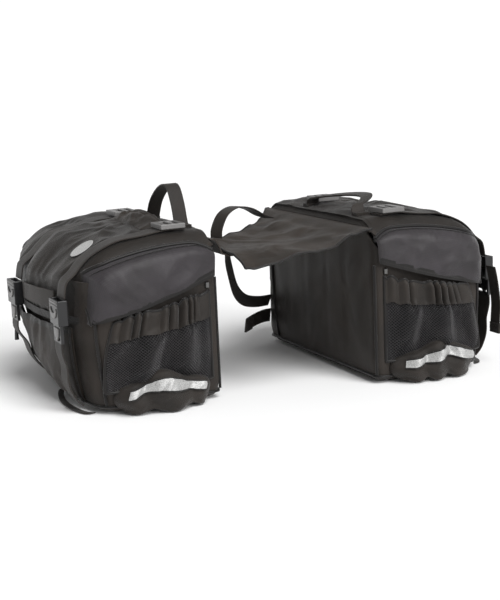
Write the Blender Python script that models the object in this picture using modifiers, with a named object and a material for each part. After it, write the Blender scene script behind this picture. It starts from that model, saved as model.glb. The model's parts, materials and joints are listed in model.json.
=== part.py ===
"""Pair of throw-over motorcycle saddlebags joined by a fabric yoke.

Units are metres, +Z is up and +Y runs along the motorcycle. Each bag is modelled in its own
terms: u runs outwards from the back panel, v runs along the bag and w is the height. The right
bag lies at +X and the left bag is its mirror image at -X, a little further along +Y.
"""
import math

import bmesh
import bpy
from mathutils import Vector

for item in list(bpy.data.objects):
    bpy.data.objects.remove(item, do_unlink=True)

# ---------------------------------------------------------------- driving dimensions
GAP = 0.250                  # between the two back panels
STAGGER = 0.074              # how far the left bag stands behind the right one
LENGTH = 0.410               # of a bag, along v
DEPTH = 0.215                # of a bag at its end gussets, along u
BULGE = 0.030                # extra depth at the middle of the outer panel
RIM = 0.212                  # height of the mouth at the ends and the outer side
PANEL_TOP = 0.264            # height of the back panel
WALL = 0.003                 # padded fabric of the tub
LID_WALL = 0.0025
LID_CLEAR = 0.0025           # between the tub and the inside of the lid
HINGE_Z = 0.2675             # lid hinge line, along the top of the back panel
CROWN = 0.010                # height of the lid's dome over the hinge line
OUTER_DROP = 0.018           # how far the lid slopes down to its outer edge
TUCK_TOP = 0.130             # below this height the outer panel leans in to the foot
TUCK_NEAR = 0.010            # how far it leans in at the near end
TUCK_FAR = 0.060             # and at the far end
SKIRT_BOTTOM = 0.145         # lower edge of the lid's front skirt
EAR_INNER = 0.206            # lower edge of a lid ear at the back panel
EAR_OUTER = 0.149            # lower edge of a lid ear at the outer corner
STRAP_V = (-0.150, 0.075)    # middle of the near and the far lid strap
STRAP_WIDTH = 0.038
STRAP_THICK = 0.002
TOUCH = 0.0004               # gap between pieces that lie on each other
ENDS = (("near", -1.0), ("far", 1.0))

# ---------------------------------------------------------------- materials
COLOURS = {
    "tub_fabric": (0.028, 0.025, 0.023, 0.85, 0.0),
    "lid_fabric": (0.040, 0.037, 0.038, 0.80, 0.0),
    "pocket_fabric": (0.025, 0.023, 0.021, 0.85, 0.0),
    "mesh": (0.012, 0.011, 0.011, 0.75, 0.0),
    "elastic": (0.020, 0.018, 0.018, 0.80, 0.0),
    "webbing": (0.018, 0.017, 0.016, 0.70, 0.0),
    "yoke_fabric": (0.060, 0.054, 0.048, 0.85, 0.0),
    "reflective": (0.400, 0.400, 0.390, 0.45, 0.2),
    "black_nylon": (0.018, 0.018, 0.019, 0.40, 0.0),
    "grey_nylon": (0.300, 0.295, 0.285, 0.42, 0.0),
    "board": (0.020, 0.020, 0.020, 0.60, 0.0),
    "zip_metal": (0.450, 0.440, 0.420, 0.30, 1.0),
    "patch": (0.550, 0.550, 0.540, 0.40, 0.0),
    "cord": (0.020, 0.020, 0.020, 0.70, 0.0),
}


def material(name):
    """A Principled material from the colour table, made once."""
    found = bpy.data.materials.get(name)
    if found:
        return found
    red, green, blue, roughness, metallic = COLOURS[name]
    made = bpy.data.materials.new(name)
    made.use_nodes = True
    shader = made.node_tree.nodes["Principled BSDF"]
    shader.inputs["Base Color"].default_value = (red, green, blue, 1.0)
    shader.inputs["Roughness"].default_value = roughness
    shader.inputs["Metallic"].default_value = metallic
    made.diffuse_color = (red, green, blue, 1.0)
    return made


PARTS = bpy.data.collections.new("throw_over_saddlebags")
CUTTERS = bpy.data.collections.new("cutters")
bpy.context.scene.collection.children.link(PARTS)
bpy.context.scene.collection.children.link(CUTTERS)


# ---------------------------------------------------------------- tools
def place(side, u, v, w):
    """World position of a bag's own u, v, w. Side is -1 for the left bag and 1 for the right."""
    return Vector((side * (GAP / 2 + u), v - side * STAGGER / 2, w))


def add_mesh(name, mesh, slot, origin=(0.0, 0.0, 0.0)):
    """Put a finished mesh into the scene with its origin at the given world point."""
    for vert in mesh.vertices:
        vert.co -= Vector(origin)
    thing = bpy.data.objects.new(name, mesh)
    thing.location = origin
    mesh.materials.append(material(slot))
    PARTS.objects.link(thing)
    return thing


def thicken(thing, thickness, offset):
    """Give an open surface its wall: offset 1 grows it outwards and -1 inwards."""
    wall = thing.modifiers.new("wall", "SOLIDIFY")
    wall.thickness = thickness
    wall.offset = offset
    wall.use_even_offset = True
    return thing


def loft(name, rings, slot, thickness, offset, closed, flip=False, cap=False, origin=(0, 0, 0)):
    """Skin a row of like-numbered point rings, cap the last one if asked, and give it a wall."""
    bm = bmesh.new()
    rows = [[bm.verts.new(point) for point in ring] for ring in rings]
    count = len(rows[0])
    for lower, upper in zip(rows, rows[1:]):
        for i in range(count if closed else count - 1):
            j = (i + 1) % count
            corners = [lower[i], lower[j], upper[j], upper[i]]
            bm.faces.new(corners[::-1] if flip else corners)
    if cap:
        bm.faces.new(rows[-1][::-1] if flip else rows[-1])
    mesh = bpy.data.meshes.new(name)
    bm.to_mesh(mesh)
    bm.free()
    return thicken(add_mesh(name, mesh, slot, origin), thickness, offset)


def webbing(name, side, path, width, slot="webbing", thickness=STRAP_THICK, origin=(0, 0, 0)):
    """A flat strap along a path of u, w points at one v, with its width along v."""
    rings = []
    for u, v, w in path:
        rings.append([place(side, u, v - width / 2, w), place(side, u, v + width / 2, w)])
    return loft(name, rings, slot, thickness, 1.0, closed=False, flip=side > 0, origin=origin)


def block(name, low, high, slot, collection=None):
    """A box between two world corners."""
    bm = bmesh.new()
    bmesh.ops.create_cube(bm, size=1.0)
    low = Vector(low)
    high = Vector(high)
    bmesh.ops.scale(bm, vec=[abs(x) for x in high - low], verts=bm.verts)
    bmesh.ops.translate(bm, vec=(low + high) / 2, verts=bm.verts)
    mesh = bpy.data.meshes.new(name)
    bm.to_mesh(mesh)
    bm.free()
    thing = add_mesh(name, mesh, slot)
    if collection:
        PARTS.objects.unlink(thing)
        collection.objects.link(thing)
    return thing


def cut(thing, name, low, high):
    """Take a box out of a piece."""
    cutter = block(name, low, high, "black_nylon", CUTTERS)
    cutter.hide_render = True
    cutter.display_type = "WIRE"
    opening = thing.modifiers.new(name, "BOOLEAN")
    opening.operation = "DIFFERENCE"
    opening.solver = "EXACT"
    opening.object = cutter


def round_edges(thing, width, segments=2):
    """Round the sharp edges of a piece."""
    bevel = thing.modifiers.new("edges", "BEVEL")
    bevel.width = width
    bevel.segments = segments
    bevel.limit_method = "ANGLE"
    bevel.angle_limit = math.radians(40)


def mix(a, b, t):
    return a + (b - a) * t


def smooth_path(points, steps):
    """Points of a Catmull-Rom curve through the given ones."""
    knots = [Vector(p) for p in points]
    knots = [2 * knots[0] - knots[1]] + knots + [2 * knots[-1] - knots[-2]]
    out = []
    for a, b, c, d in zip(knots, knots[1:], knots[2:], knots[3:]):
        for step in range(steps):
            t = step / steps
            out.append(0.5 * (2 * b + (c - a) * t + (2 * a - 5 * b + 4 * c - d) * t * t
                              + (3 * b - a - 3 * c + d) * t ** 3))
    return out + [knots[-2]]


# ---------------------------------------------------------------- the bag's outline
def swell(w):
    """How much of the outer panel's bulge shows at a height."""
    table = ((0.0, 0.45), (0.030, 0.80), (0.080, 1.0), (0.145, 0.95), (RIM, 0.70))
    for (w0, s0), (w1, s1) in zip(table, table[1:]):
        if w <= w1:
            return mix(s0, s1, max(0.0, (w - w0) / (w1 - w0)))
    return table[-1][1]


def tuck(v, w):
    """How far the outer panel leans in at a place along the bag and a height."""
    along = max(0.0, min(1.0, v / LENGTH + 0.5))
    amount = TUCK_NEAR + (TUCK_FAR - TUCK_NEAR) * along * along * (3 - 2 * along)
    return amount * max(0.0, 1 - w / TUCK_TOP) ** 1.3


def outer(v, w):
    """Depth of the outer panel at a place along the bag and a height."""
    swollen = BULGE * swell(w) * math.cos(math.pi * max(-0.5, min(0.5, v / LENGTH)))
    return DEPTH + swollen - tuck(v, w)


def plan(inner_u, end_v, extra, r_inner, r_outer, w):
    """The bag's outline seen from above, as u, v points that run from the inner near corner."""
    depth = DEPTH + extra
    points = []

    def arc(cu, cv, radius, start, stop, count):
        for i in range(count):
            angle = math.radians(mix(start, stop, i / (count - 1)))
            points.append((cu + radius * math.cos(angle), cv + radius * math.sin(angle)))

    arc(inner_u + r_inner, -end_v + r_inner, r_inner, 180, 270, 3)
    for t in (0.25, 0.5, 0.75):
        points.append((mix(inner_u + r_inner, depth - r_outer, t), -end_v))
    arc(depth - r_outer, -end_v + r_outer, r_outer, 270, 360, 5)
    for i in range(1, 8):
        points.append((depth, mix(-end_v + r_outer, end_v - r_outer, i / 8)))
    arc(depth - r_outer, end_v - r_outer, r_outer, 0, 90, 5)
    for t in (0.75, 0.5, 0.25):
        points.append((mix(inner_u + r_inner, depth - r_outer, t), end_v))
    arc(inner_u + r_inner, end_v - r_inner, r_inner, 90, 180, 3)
    for t in (0.96, 0.88, 0.7, 0.5, 0.3, 0.12, 0.04):
        points.append((inner_u, mix(-end_v + r_inner, end_v - r_inner, t)))
    out = []
    for u, v in points:
        reach = max(0.0, (u - 0.5 * depth) / (0.5 * depth))
        out.append((u + (outer(v, w) - DEPTH) * reach, v))
    return out


def inset(points, amount):
    """Move an outline inwards, towards the middle of the bag."""
    half_u = DEPTH / 2
    out = []
    for u, v in points:
        out.append((u + amount * (half_u - u) / half_u, v * (1 - 2 * amount / LENGTH)))
    return out


def lid_height(u, v):
    """Height of the lid's inner surface: a low dome that falls off at the ends and the front."""
    dome = CROWN * math.sin(math.pi * max(0.0, min(1.0, u / 0.24))) ** 0.8
    from_end = LENGTH / 2 + LID_CLEAR - abs(v)
    from_front = outer(v, RIM) + LID_CLEAR - u
    fall_end = 0.036 * max(0.0, 1 - from_end / 0.050) ** 1.7
    fall_front = 0.034 * max(0.0, 1 - from_front / 0.060) ** 2
    slope = OUTER_DROP * max(0.0, min(1.0, u / DEPTH)) ** 1.5
    return HINGE_Z + dome - slope - math.hypot(fall_end, fall_front)


def rim_height(u, v):
    """Height of the tub's mouth: low at three sides, and up to the lid at the back panel."""
    under_lid = min(PANEL_TOP, lid_height(0.0, v) - 0.0050)
    blend = max(0.0, min(1.0, (u - 0.004) / 0.020))
    return mix(under_lid, min(RIM, under_lid), blend)


# ---------------------------------------------------------------- tub, boards and lid
def bag_shell(label, side):
    levels = ((0.0, 0.020), (0.003, 0.009), (0.010, 0.003), (0.030, 0.0), (0.080, 0.0),
              (0.145, 0.0), (0.200, 0.0))
    rings = []
    for w, amount in reversed(levels):
        outline = inset(plan(0.0, LENGTH / 2, 0.0, 0.012, 0.035, w), amount)
        rings.append([place(side, u, v, w) for u, v in outline])
    top = plan(0.0, LENGTH / 2, 0.0, 0.012, 0.035, RIM)
    rings.insert(0, [place(side, u, v, rim_height(u, v)) for u, v in top])
    return loft(f"{label}_bag_shell", rings, "tub_fabric", WALL, -1.0, closed=True,
                flip=side > 0, cap=True)


def boards(label, side):
    inner_u = WALL + TOUCH
    back = block(f"{label}_back_board", place(side, inner_u, -0.180, 0.034),
                 place(side, inner_u + 0.002, 0.180, 0.215), "board")
    round_edges(back, 0.0008, 1)
    base = block(f"{label}_base_board", place(side, 0.026, -0.170, WALL + TOUCH),
                 place(side, 0.140, 0.170, WALL + TOUCH + 0.002), "board")
    round_edges(base, 0.0008, 1)


def lid_skirt(u, v):
    """Height of the lid's lower edge at a point of its outline."""
    if u < 0.009 and abs(v) < LENGTH / 2 + LID_CLEAR - 0.0001:
        return lid_height(u, v) - 0.0005
    if abs(v) > LENGTH / 2 + LID_CLEAR - 0.0001:
        return mix(EAR_INNER, EAR_OUTER, u / DEPTH)
    return SKIRT_BOTTOM + max(0.0, abs(v) - 0.185) * 0.15


def lid(label, side):
    def outline(w):
        return plan(0.004, LENGTH / 2 + LID_CLEAR, LID_CLEAR, 0.006, 0.0375, w)

    edge = outline(RIM)
    rings = []
    for fall in (1.0, 0.5, 0.0):
        ring = []
        for i, (u, v) in enumerate(edge):
            low = lid_skirt(u, v)
            w = mix(lid_height(u, v), low, fall)
            u_here, v_here = outline(max(0.145, min(RIM, w)))[i]
            ring.append(place(side, u_here, v_here, w))
        rings.append(ring)
    for t in (0.10, 0.25, 0.48, 0.75):
        ring = []
        for u, v in edge:
            u_in = mix(u, 0.110, t)
            v_in = mix(v, max(-0.10, min(0.10, v)), t)
            ring.append(place(side, u_in, v_in, lid_height(u_in, v_in)))
        rings.append(ring)
    hinge = place(side, 0.0, 0.0, HINGE_Z)
    return loft(f"{label}_lid", rings, "lid_fabric", LID_WALL, 1.0, closed=True,
                flip=side < 0, cap=True, origin=hinge)


# ---------------------------------------------------------------- pockets, pouches and strips
def pocket_reach(w):
    """How far the outer pocket stands off the outer panel at a height."""
    table = ((0.014, 0.004), (0.024, 0.018), (0.040, 0.027), (0.056, 0.024), (0.074, 0.013),
             (0.095, 0.0105), (0.136, 0.0085))
    for (w0, r0), (w1, r1) in zip(table, table[1:]):
        if w <= w1:
            return mix(r0, r1, (w - w0) / (w1 - w0))
    return table[-1][1]


def outer_pocket(label, side):
    half = 0.150
    rings = []
    for w in (0.014, 0.024, 0.040, 0.056, 0.074, 0.095, 0.136):
        ring = []
        for s in (-1.0, -0.94, -0.8, -0.5, -0.2, 0.2, 0.5, 0.8, 0.94, 1.0):
            stand = TOUCH + (pocket_reach(w) - TOUCH) * (1 - abs(s) ** 6)
            ring.append(place(side, outer(s * half, w) + stand, s * half, w))
        rings.append(ring)
    return loft(f"{label}_outer_pocket", rings, "pocket_fabric", 0.002, 1.0, closed=False,
                flip=side < 0)


def mesh_pocket(label, side, end, sign):
    """Gathered pocket on an end gusset: its mouth slants up towards the back panel."""
    low_u, high_u = 0.022, 0.184

    def point(s, t, lift=0.0):
        u = mix(low_u, high_u, s)
        top = mix(0.181, 0.150, s)
        w = mix(0.066, top, t)
        belly = math.sin(math.pi * s) ** 0.6 * (0.3 + 0.7 * math.sin(math.pi * min(0.85, 0.1 + t)))
        v = LENGTH / 2 + TOUCH + 0.030 * belly + lift
        return place(side, u, sign * v, w)

    steps = [i / 10 for i in range(11)]
    rings = [[point(s, t) for s in steps] for t in (0.0, 0.12, 0.3, 0.5, 0.7, 0.88)]
    loft(f"{label}_{end}_mesh_pocket", rings, "mesh", 0.0015, 1.0, closed=False,
         flip=side * sign > 0)
    band = [[point(s, t, 0.0003) for s in steps] for t in (0.892, 1.0)]
    loft(f"{label}_{end}_pocket_elastic", band, "elastic", 0.0025, 1.0, closed=False,
         flip=side * sign > 0)


def rain_pouch(label, side, end, sign):
    """Soft pouch low on an end gusset, sagging on to the floor."""
    bm = bmesh.new()
    bmesh.ops.create_cube(bm, size=1.0)
    bmesh.ops.subdivide_edges(bm, edges=bm.edges, cuts=2, use_grid_fill=True)
    for vert in bm.verts:
        x, y, z = vert.co * 2
        out = 0.5 + 0.5 * y
        crown = (1 - 0.45 * x * x) * (1 - 0.35 * out * out)
        u = 0.103 + 0.080 * x * (1 - 0.18 * out)
        v = LENGTH / 2 + 0.0015 + 0.056 * out * (1 - 0.25 * x * x)
        w = 0.0005 + (0.5 + 0.5 * z) * 0.062 * crown
        vert.co = place(side, u, sign * v, w)
    bm.normal_update()
    bmesh.ops.recalc_face_normals(bm, faces=bm.faces)
    mesh = bpy.data.meshes.new(f"{label}_{end}_rain_pouch")
    bm.to_mesh(mesh)
    bm.free()
    pouch = add_mesh(f"{label}_{end}_rain_pouch", mesh, "pocket_fabric")
    soft = pouch.modifiers.new("soft", "SUBSURF")
    soft.levels = 1
    soft.render_levels = 1


def reflective_strip(label, side, end, sign):
    """Strip over the top of the rain pouch, in front of the mesh pocket's foot."""
    rings = []
    for s in (0.0, 0.25, 0.5, 0.75, 1.0):
        u = mix(0.040, 0.166, s)
        v = LENGTH / 2 + mix(0.040, 0.047, math.sin(math.pi * s))
        rings.append([place(side, u, sign * v, 0.0530),
                      place(side, u, sign * (v - 0.013), 0.0590)])
    loft(f"{label}_{end}_reflective_strip", rings, "reflective", 0.0006, 1.0, closed=False,
         flip=side * sign < 0)


# ---------------------------------------------------------------- straps and buckles
def over_lid(v, u):
    """Height of a strap that lies on the lid."""
    return lid_height(u, v) + LID_WALL + 0.0020


def lid_strap(label, side, end, v):
    """Webbing from the adjuster on the lid's top, over the front edge, to the buckle socket."""
    path = []
    for u in (0.034, 0.070, 0.110, 0.150, 0.185, 0.206, 0.222):
        path.append((u, v, max(over_lid(v - 0.019, u), over_lid(v + 0.019, u))))
    front = max(outer(v - 0.019, RIM), outer(v + 0.019, RIM)) + LID_CLEAR + LID_WALL + 0.0012
    path.append((front, v, 0.2215))
    path.append((front + 0.003, v, 0.208))
    path.append((front + 0.007, v, 0.1865))
    webbing(f"{label}_{end}_lid_strap", side, path, STRAP_WIDTH,
            origin=place(side, 0.0, v, HINGE_Z))


def buckle_plane(v):
    """Depth of the back of a buckle's prongs, clear of the skirt as the lid lifts."""
    return outer(min(abs(v - 0.023), abs(v + 0.023)), SKIRT_BOTTOM) + LID_CLEAR + LID_WALL + 0.0115


MOUTH = SKIRT_BOTTOM         # height of the buckle socket's mouth
PRONG_TIP = 0.163


def buckle_socket(label, side, end, v):
    back = buckle_plane(v) - 0.008
    front = buckle_plane(v) + 0.0083
    socket = block(f"{label}_{end}_buckle_socket", place(side, back, v - 0.0235, MOUTH),
                   place(side, front, v + 0.0235, 0.1855), "black_nylon")
    cut(socket, f"{label}_{end}_socket_cavity", place(side, back - 0.001, v - 0.0202, MOUTH - 0.001),
        place(side, front - 0.0025, v + 0.0202, 0.1670))
    cut(socket, f"{label}_{end}_socket_slot", place(side, back + 0.003, v - 0.0195, 0.1790),
        place(side, front - 0.004, v + 0.0195, 0.1860))
    round_edges(socket, 0.0012, 2)


def buckle_prong(label, side, end, v):
    """Prong piece: two spring arms and a guide on a base with a webbing slot."""
    half = 0.0192
    base_top = MOUTH - 0.0015
    base_low = 0.1165
    tip = PRONG_TIP
    outline = [(-half, base_low), (half, base_low), (half, base_top), (0.0185, base_top),
               (0.0185, tip - 0.003), (0.0165, tip), (0.0125, tip), (0.0125, base_top),
               (0.0030, base_top), (0.0030, tip - 0.002), (-0.0030, tip - 0.002),
               (-0.0030, base_top), (-0.0125, base_top), (-0.0125, tip), (-0.0165, tip),
               (-0.0185, tip - 0.003), (-0.0185, base_top), (-half, base_top)]
    slot = [(-0.0150, base_low + 0.004), (0.0150, base_low + 0.004),
            (0.0150, base_low + 0.009), (-0.0150, base_low + 0.009)]
    name = f"{label}_{end}_buckle_prong"
    curve = bpy.data.curves.new(name, "CURVE")
    curve.dimensions = "2D"
    curve.fill_mode = "BOTH"
    curve.extrude = 0.0025
    for points in (outline, slot):
        spline = curve.splines.new("POLY")
        spline.points.add(len(points) - 1)
        spline.use_cyclic_u = True
        for point, (across, up) in zip(spline.points, points):
            point.co = (across, up, 0.0, 1.0)
    prong = bpy.data.objects.new(name, curve)
    curve.materials.append(material("black_nylon"))
    prong.location = place(side, buckle_plane(v) + 0.0025, v, 0.0)
    prong.rotation_euler = (math.pi / 2, 0.0, math.pi / 2)
    PARTS.objects.link(prong)


def lower_strap(label, side, end, v):
    """Webbing from under the prong piece, round the pocket's belly, to the foot of the bag."""
    path = []
    for w in (0.0125, 0.022, 0.032, 0.044, 0.056, 0.066, 0.074):
        stand = max(outer(v - 0.019, w), outer(v, w), outer(v + 0.019, w))
        path.append((stand + pocket_reach(w) + 0.002 + 0.0036, v, w))
    path.reverse()
    webbing(f"{label}_{end}_lower_strap", side, path, STRAP_WIDTH)


def strap_adjuster(label, side, end, v):
    """Ladder lock on the inner end of a lid strap, on top of the lid."""
    low = over_lid(v, 0.078) + STRAP_THICK + 0.0010
    body = block(f"{label}_{end}_strap_adjuster", place(side, 0.036, v - 0.024, low),
                 place(side, 0.078, v + 0.024, low + 0.008), "grey_nylon")
    cut(body, f"{label}_{end}_adjuster_slot_a", place(side, 0.042, v - 0.0195, low - 0.001),
        place(side, 0.050, v + 0.0195, low + 0.009))
    cut(body, f"{label}_{end}_adjuster_slot_b", place(side, 0.057, v - 0.0195, low - 0.001),
        place(side, 0.066, v + 0.0195, low + 0.009))
    round_edges(body, 0.0012, 2)


HANDLE_FOLD = {"left": 0.0, "right": 74.0}    # degrees from upright, towards the outer side
HANDLE_V = {"left": -0.055, "right": -0.035}   # middle of the handle's two feet
HANDLE_RISE = {"left": 0.052, "right": 0.042}
HANDLE_HALF = {"left": 0.060, "right": 0.077}


def carry_handle(label, side):
    """Webbing arch over the inner edge of the lid, upright or folded down, its width along u."""
    fold = math.radians(HANDLE_FOLD[label])
    middle = HANDLE_V[label]
    rise = HANDLE_RISE[label]
    half = HANDLE_HALF[label]
    foot = lid_height(0.022, 0.0) + LID_WALL + 0.0135
    shape = ((-1.0, 0.0), (-0.88, 0.42), (-0.61, 0.92), (-0.25, 1.0), (0.28, 0.77),
             (0.76, 0.38), (1.0, 0.0))
    knots = [(0.0, middle + half * along, foot + rise * up) for along, up in shape]
    rings = []
    for _, v, w in smooth_path(knots, 3):
        ring = []
        for across in (-0.012, 0.012):
            u = 0.022 + across * math.cos(fold) + (w - foot) * math.sin(fold)
            ring.append(place(side, u, v, foot - across * math.sin(fold)
                              + (w - foot) * math.cos(fold)))
        rings.append(ring)
    loft(f"{label}_carry_handle", rings, "webbing", 0.0025, 1.0, closed=False,
         flip=side > 0, origin=place(side, 0.022, 0.0, foot))


# ---------------------------------------------------------------- yoke
YOKE_Z = 0.2575              # height of both yoke hinge lines
YOKE_STAND = 0.008           # from a back panel to the root of its yoke flap


def left_yoke_flap():
    """Short flap on the left bag that lies under the long one."""
    rings = []
    for reach, drop in ((0.008, 0.0), (0.014, 0.010), (0.020, 0.026), (0.034, 0.0300),
                        (0.055, 0.0310), (0.080, 0.0315)):
        x = -GAP / 2 + reach
        rings.append([Vector((x, y, YOKE_Z - drop)) for y in (-0.150, -0.05, 0.05, 0.190)])
    loft("left_yoke_flap", rings, "yoke_fabric", 0.0022, 1.0, closed=False, flip=True,
         origin=(-GAP / 2, 0.0, YOKE_Z))


def right_yoke_flap():
    """Long flap on the right bag that sags across the gap and narrows towards its free end."""
    rings = []
    profile = ((0.008, 0.0), (0.036, 0.012), (0.078, 0.021), (0.120, 0.0245), (0.160, 0.0250),
               (0.198, 0.0245), (0.218, 0.0225))
    for reach, drop in profile:
        t = (reach - 0.008) / 0.210
        near = mix(-0.236, -0.212, t)
        far = mix(0.148, -0.050, t ** 0.8)
        x = GAP / 2 - reach
        ring = []
        for s in (0, 0.15, 0.33, 0.67, 1):
            droop = 0.024 * t * t * (1 - s) ** 4
            ring.append(Vector((x, mix(near, far, s), YOKE_Z - drop - droop)))
        rings.append(ring)
    loft("right_yoke_flap", rings, "yoke_fabric", 0.0022, 1.0, closed=False,
         origin=(GAP / 2, 0.0, YOKE_Z))


def yoke_strap():
    """Webbing that arches over the gap beside the long flap."""
    knots = [(-0.062, -0.030, 0.2400), (-0.058, -0.024, 0.2560), (-0.040, -0.012, 0.2780),
             (-0.010, 0.006, 0.2860), (0.022, 0.020, 0.2790), (0.050, 0.032, 0.2640),
             (0.072, 0.040, 0.2560)]
    rings = []
    for point in smooth_path(knots, 3):
        rings.append([point - Vector((-0.006, 0.010, 0.0)), point + Vector((-0.006, 0.010, 0.0))])
    loft("yoke_strap", rings, "webbing", 0.002, 1.0, closed=False)


# ---------------------------------------------------------------- small pieces
def wrap_strap(label, side):
    """Loop of webbing that lies on the floor beside the foot of the outer panel."""
    rings = []
    for i in range(9):
        angle = math.pi * i / 8
        v = -0.105 - 0.075 * math.cos(angle)
        base = outer(-0.12, 0.0) - 0.004
        reach_in = base + 0.020 * math.sin(angle)
        rings.append([place(side, reach_in, v, 0.0006),
                      place(side, reach_in + 0.018, v, 0.0006)])
    loft(f"{label}_wrap_strap", rings, "webbing", 0.002, 1.0, closed=False, flip=side < 0)


def zip_slider(label, side):
    """Slider at the end of the zip above the near mesh pocket."""
    v = -LENGTH / 2 - TOUCH
    slider = block(f"{label}_zip_slider", place(side, 0.0150, v - 0.005, 0.1850),
                   place(side, 0.0210, v, 0.1945), "zip_metal")
    round_edges(slider, 0.0008, 1)


def round_patch():
    """Plain round patch on the front of the left lid."""
    bm = bmesh.new()
    bmesh.ops.create_cone(bm, cap_ends=True, segments=28, radius1=0.021, radius2=0.021,
                          depth=0.001)
    mesh = bpy.data.meshes.new("left_round_patch")
    bm.to_mesh(mesh)
    bm.free()
    patch = add_mesh("left_round_patch", mesh, "patch")
    u = 0.1875
    v = -0.1060
    step = 0.004
    slope_u = (lid_height(u + step, v) - lid_height(u - step, v)) / (2 * step)
    slope_v = (lid_height(u, v + step) - lid_height(u, v - step)) / (2 * step)
    normal = Vector((slope_u, -slope_v, 1.0)).normalized()
    patch.location = place(-1, u, v, lid_height(u, v) + LID_WALL) + normal * 0.0028
    patch.rotation_mode = "QUATERNION"
    patch.rotation_quaternion = normal.to_track_quat("Z", "Y")


CORD_TOP = 0.172
CORD_BOTTOM = 0.091
CORD_U = 0.2520
CORD_V = 0.116             # where the cord hangs, just past the far buckle socket


def pull_cord():
    """Thin cord that hangs beside the left bag's far buckle, with a moulded end."""
    curve = bpy.data.curves.new("left_pull_cord", "CURVE")
    curve.dimensions = "3D"
    curve.bevel_depth = 0.0015
    curve.bevel_resolution = 2
    curve.use_fill_caps = True
    start = STRAP_V[1] + 0.0240
    route = [(CORD_U, start, CORD_TOP), (CORD_U, start + 0.007, CORD_TOP - 0.001),
             (CORD_U, CORD_V - 0.003, CORD_TOP - 0.009), (CORD_U, CORD_V, CORD_TOP - 0.025),
             (CORD_U, CORD_V, CORD_TOP - 0.053), (CORD_U, CORD_V, CORD_BOTTOM)]
    points = smooth_path([place(-1, *point) for point in route], 3)
    spline = curve.splines.new("POLY")
    spline.points.add(len(points) - 1)
    for point, where in zip(spline.points, points):
        point.co = (where.x, where.y, where.z, 1.0)
    cord = bpy.data.objects.new("left_pull_cord", curve)
    curve.materials.append(material("cord"))
    PARTS.objects.link(cord)
    bm = bmesh.new()
    bmesh.ops.create_cone(bm, cap_ends=True, segments=12, radius1=0.0040, radius2=0.0026,
                          depth=0.020)
    mesh = bpy.data.meshes.new("left_cord_end")
    bm.to_mesh(mesh)
    bm.free()
    end = add_mesh("left_cord_end", mesh, "black_nylon")
    end.location = place(-1, CORD_U, CORD_V, CORD_BOTTOM - 0.0104)


def loose_strap():
    """Wide webbing end that hangs beside the right bag's near outer corner."""
    path = []
    for u, w in ((0.2340, 0.172), (0.2380, 0.160), (0.2440, 0.135), (0.2460, 0.105),
                 (0.2430, 0.075), (0.2450, 0.055)):
        path.append((u, -0.1915, w))
    webbing("right_loose_strap", 1, path, 0.024)


for bag_label, bag_side in (("left", -1), ("right", 1)):
    bag_shell(bag_label, bag_side)
    boards(bag_label, bag_side)
    lid(bag_label, bag_side)
    outer_pocket(bag_label, bag_side)
    carry_handle(bag_label, bag_side)
    wrap_strap(bag_label, bag_side)
    zip_slider(bag_label, bag_side)
    for (end_label, end_sign), strap_v in zip(ENDS, STRAP_V):
        mesh_pocket(bag_label, bag_side, end_label, end_sign)
        rain_pouch(bag_label, bag_side, end_label, end_sign)
        reflective_strip(bag_label, bag_side, end_label, end_sign)
        lid_strap(bag_label, bag_side, end_label, strap_v)
        buckle_socket(bag_label, bag_side, end_label, strap_v)
        buckle_prong(bag_label, bag_side, end_label, strap_v)
        lower_strap(bag_label, bag_side, end_label, strap_v)
        strap_adjuster(bag_label, bag_side, end_label, strap_v)
left_yoke_flap()
right_yoke_flap()
yoke_strap()
round_patch()
pull_cord()
loose_strap()
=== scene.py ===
import json
import math
from contextlib import contextmanager
from functools import lru_cache

import bpy
from mathutils import Matrix, Vector, noise


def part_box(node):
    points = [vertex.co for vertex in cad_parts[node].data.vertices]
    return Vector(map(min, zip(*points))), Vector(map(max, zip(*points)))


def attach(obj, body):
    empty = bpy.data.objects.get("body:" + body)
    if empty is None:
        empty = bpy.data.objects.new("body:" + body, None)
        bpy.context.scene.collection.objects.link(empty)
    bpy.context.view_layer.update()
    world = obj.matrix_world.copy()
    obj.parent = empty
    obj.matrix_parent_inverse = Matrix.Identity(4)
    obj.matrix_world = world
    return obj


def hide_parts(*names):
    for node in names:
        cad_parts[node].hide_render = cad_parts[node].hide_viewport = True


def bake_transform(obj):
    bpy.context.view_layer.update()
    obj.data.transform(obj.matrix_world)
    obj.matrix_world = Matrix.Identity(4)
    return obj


FOLD_SEED = 1795056593
noise.seed_set(FOLD_SEED)  # noise_vector follows the clock unless it is seeded

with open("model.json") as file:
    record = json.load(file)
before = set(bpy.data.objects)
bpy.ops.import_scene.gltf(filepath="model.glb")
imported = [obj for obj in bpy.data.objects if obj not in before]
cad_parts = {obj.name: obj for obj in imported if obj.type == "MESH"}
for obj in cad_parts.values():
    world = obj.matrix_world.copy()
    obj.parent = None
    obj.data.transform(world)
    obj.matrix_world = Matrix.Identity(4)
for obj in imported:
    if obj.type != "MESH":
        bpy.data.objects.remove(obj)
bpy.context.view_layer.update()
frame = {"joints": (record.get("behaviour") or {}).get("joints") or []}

# ------------------------------------------------------------------ sizes, from the frame
shell_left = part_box("left_bag_shell")
shell_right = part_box("right_bag_shell")


def joint_height(name):
    """Height of a joint at rest."""
    return next(joint["pos_m"][2] for joint in frame["joints"] if joint["name"] == name)


GAP = 2 * shell_right[0].x
LENGTH = shell_right[1].y - shell_right[0].y
STAGGER = shell_left[0].y - shell_right[0].y
HINGE_Z = joint_height("right_lid_hinge")
YOKE_Z = joint_height("right_yoke_hinge")
HALF = LENGTH / 2

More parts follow.
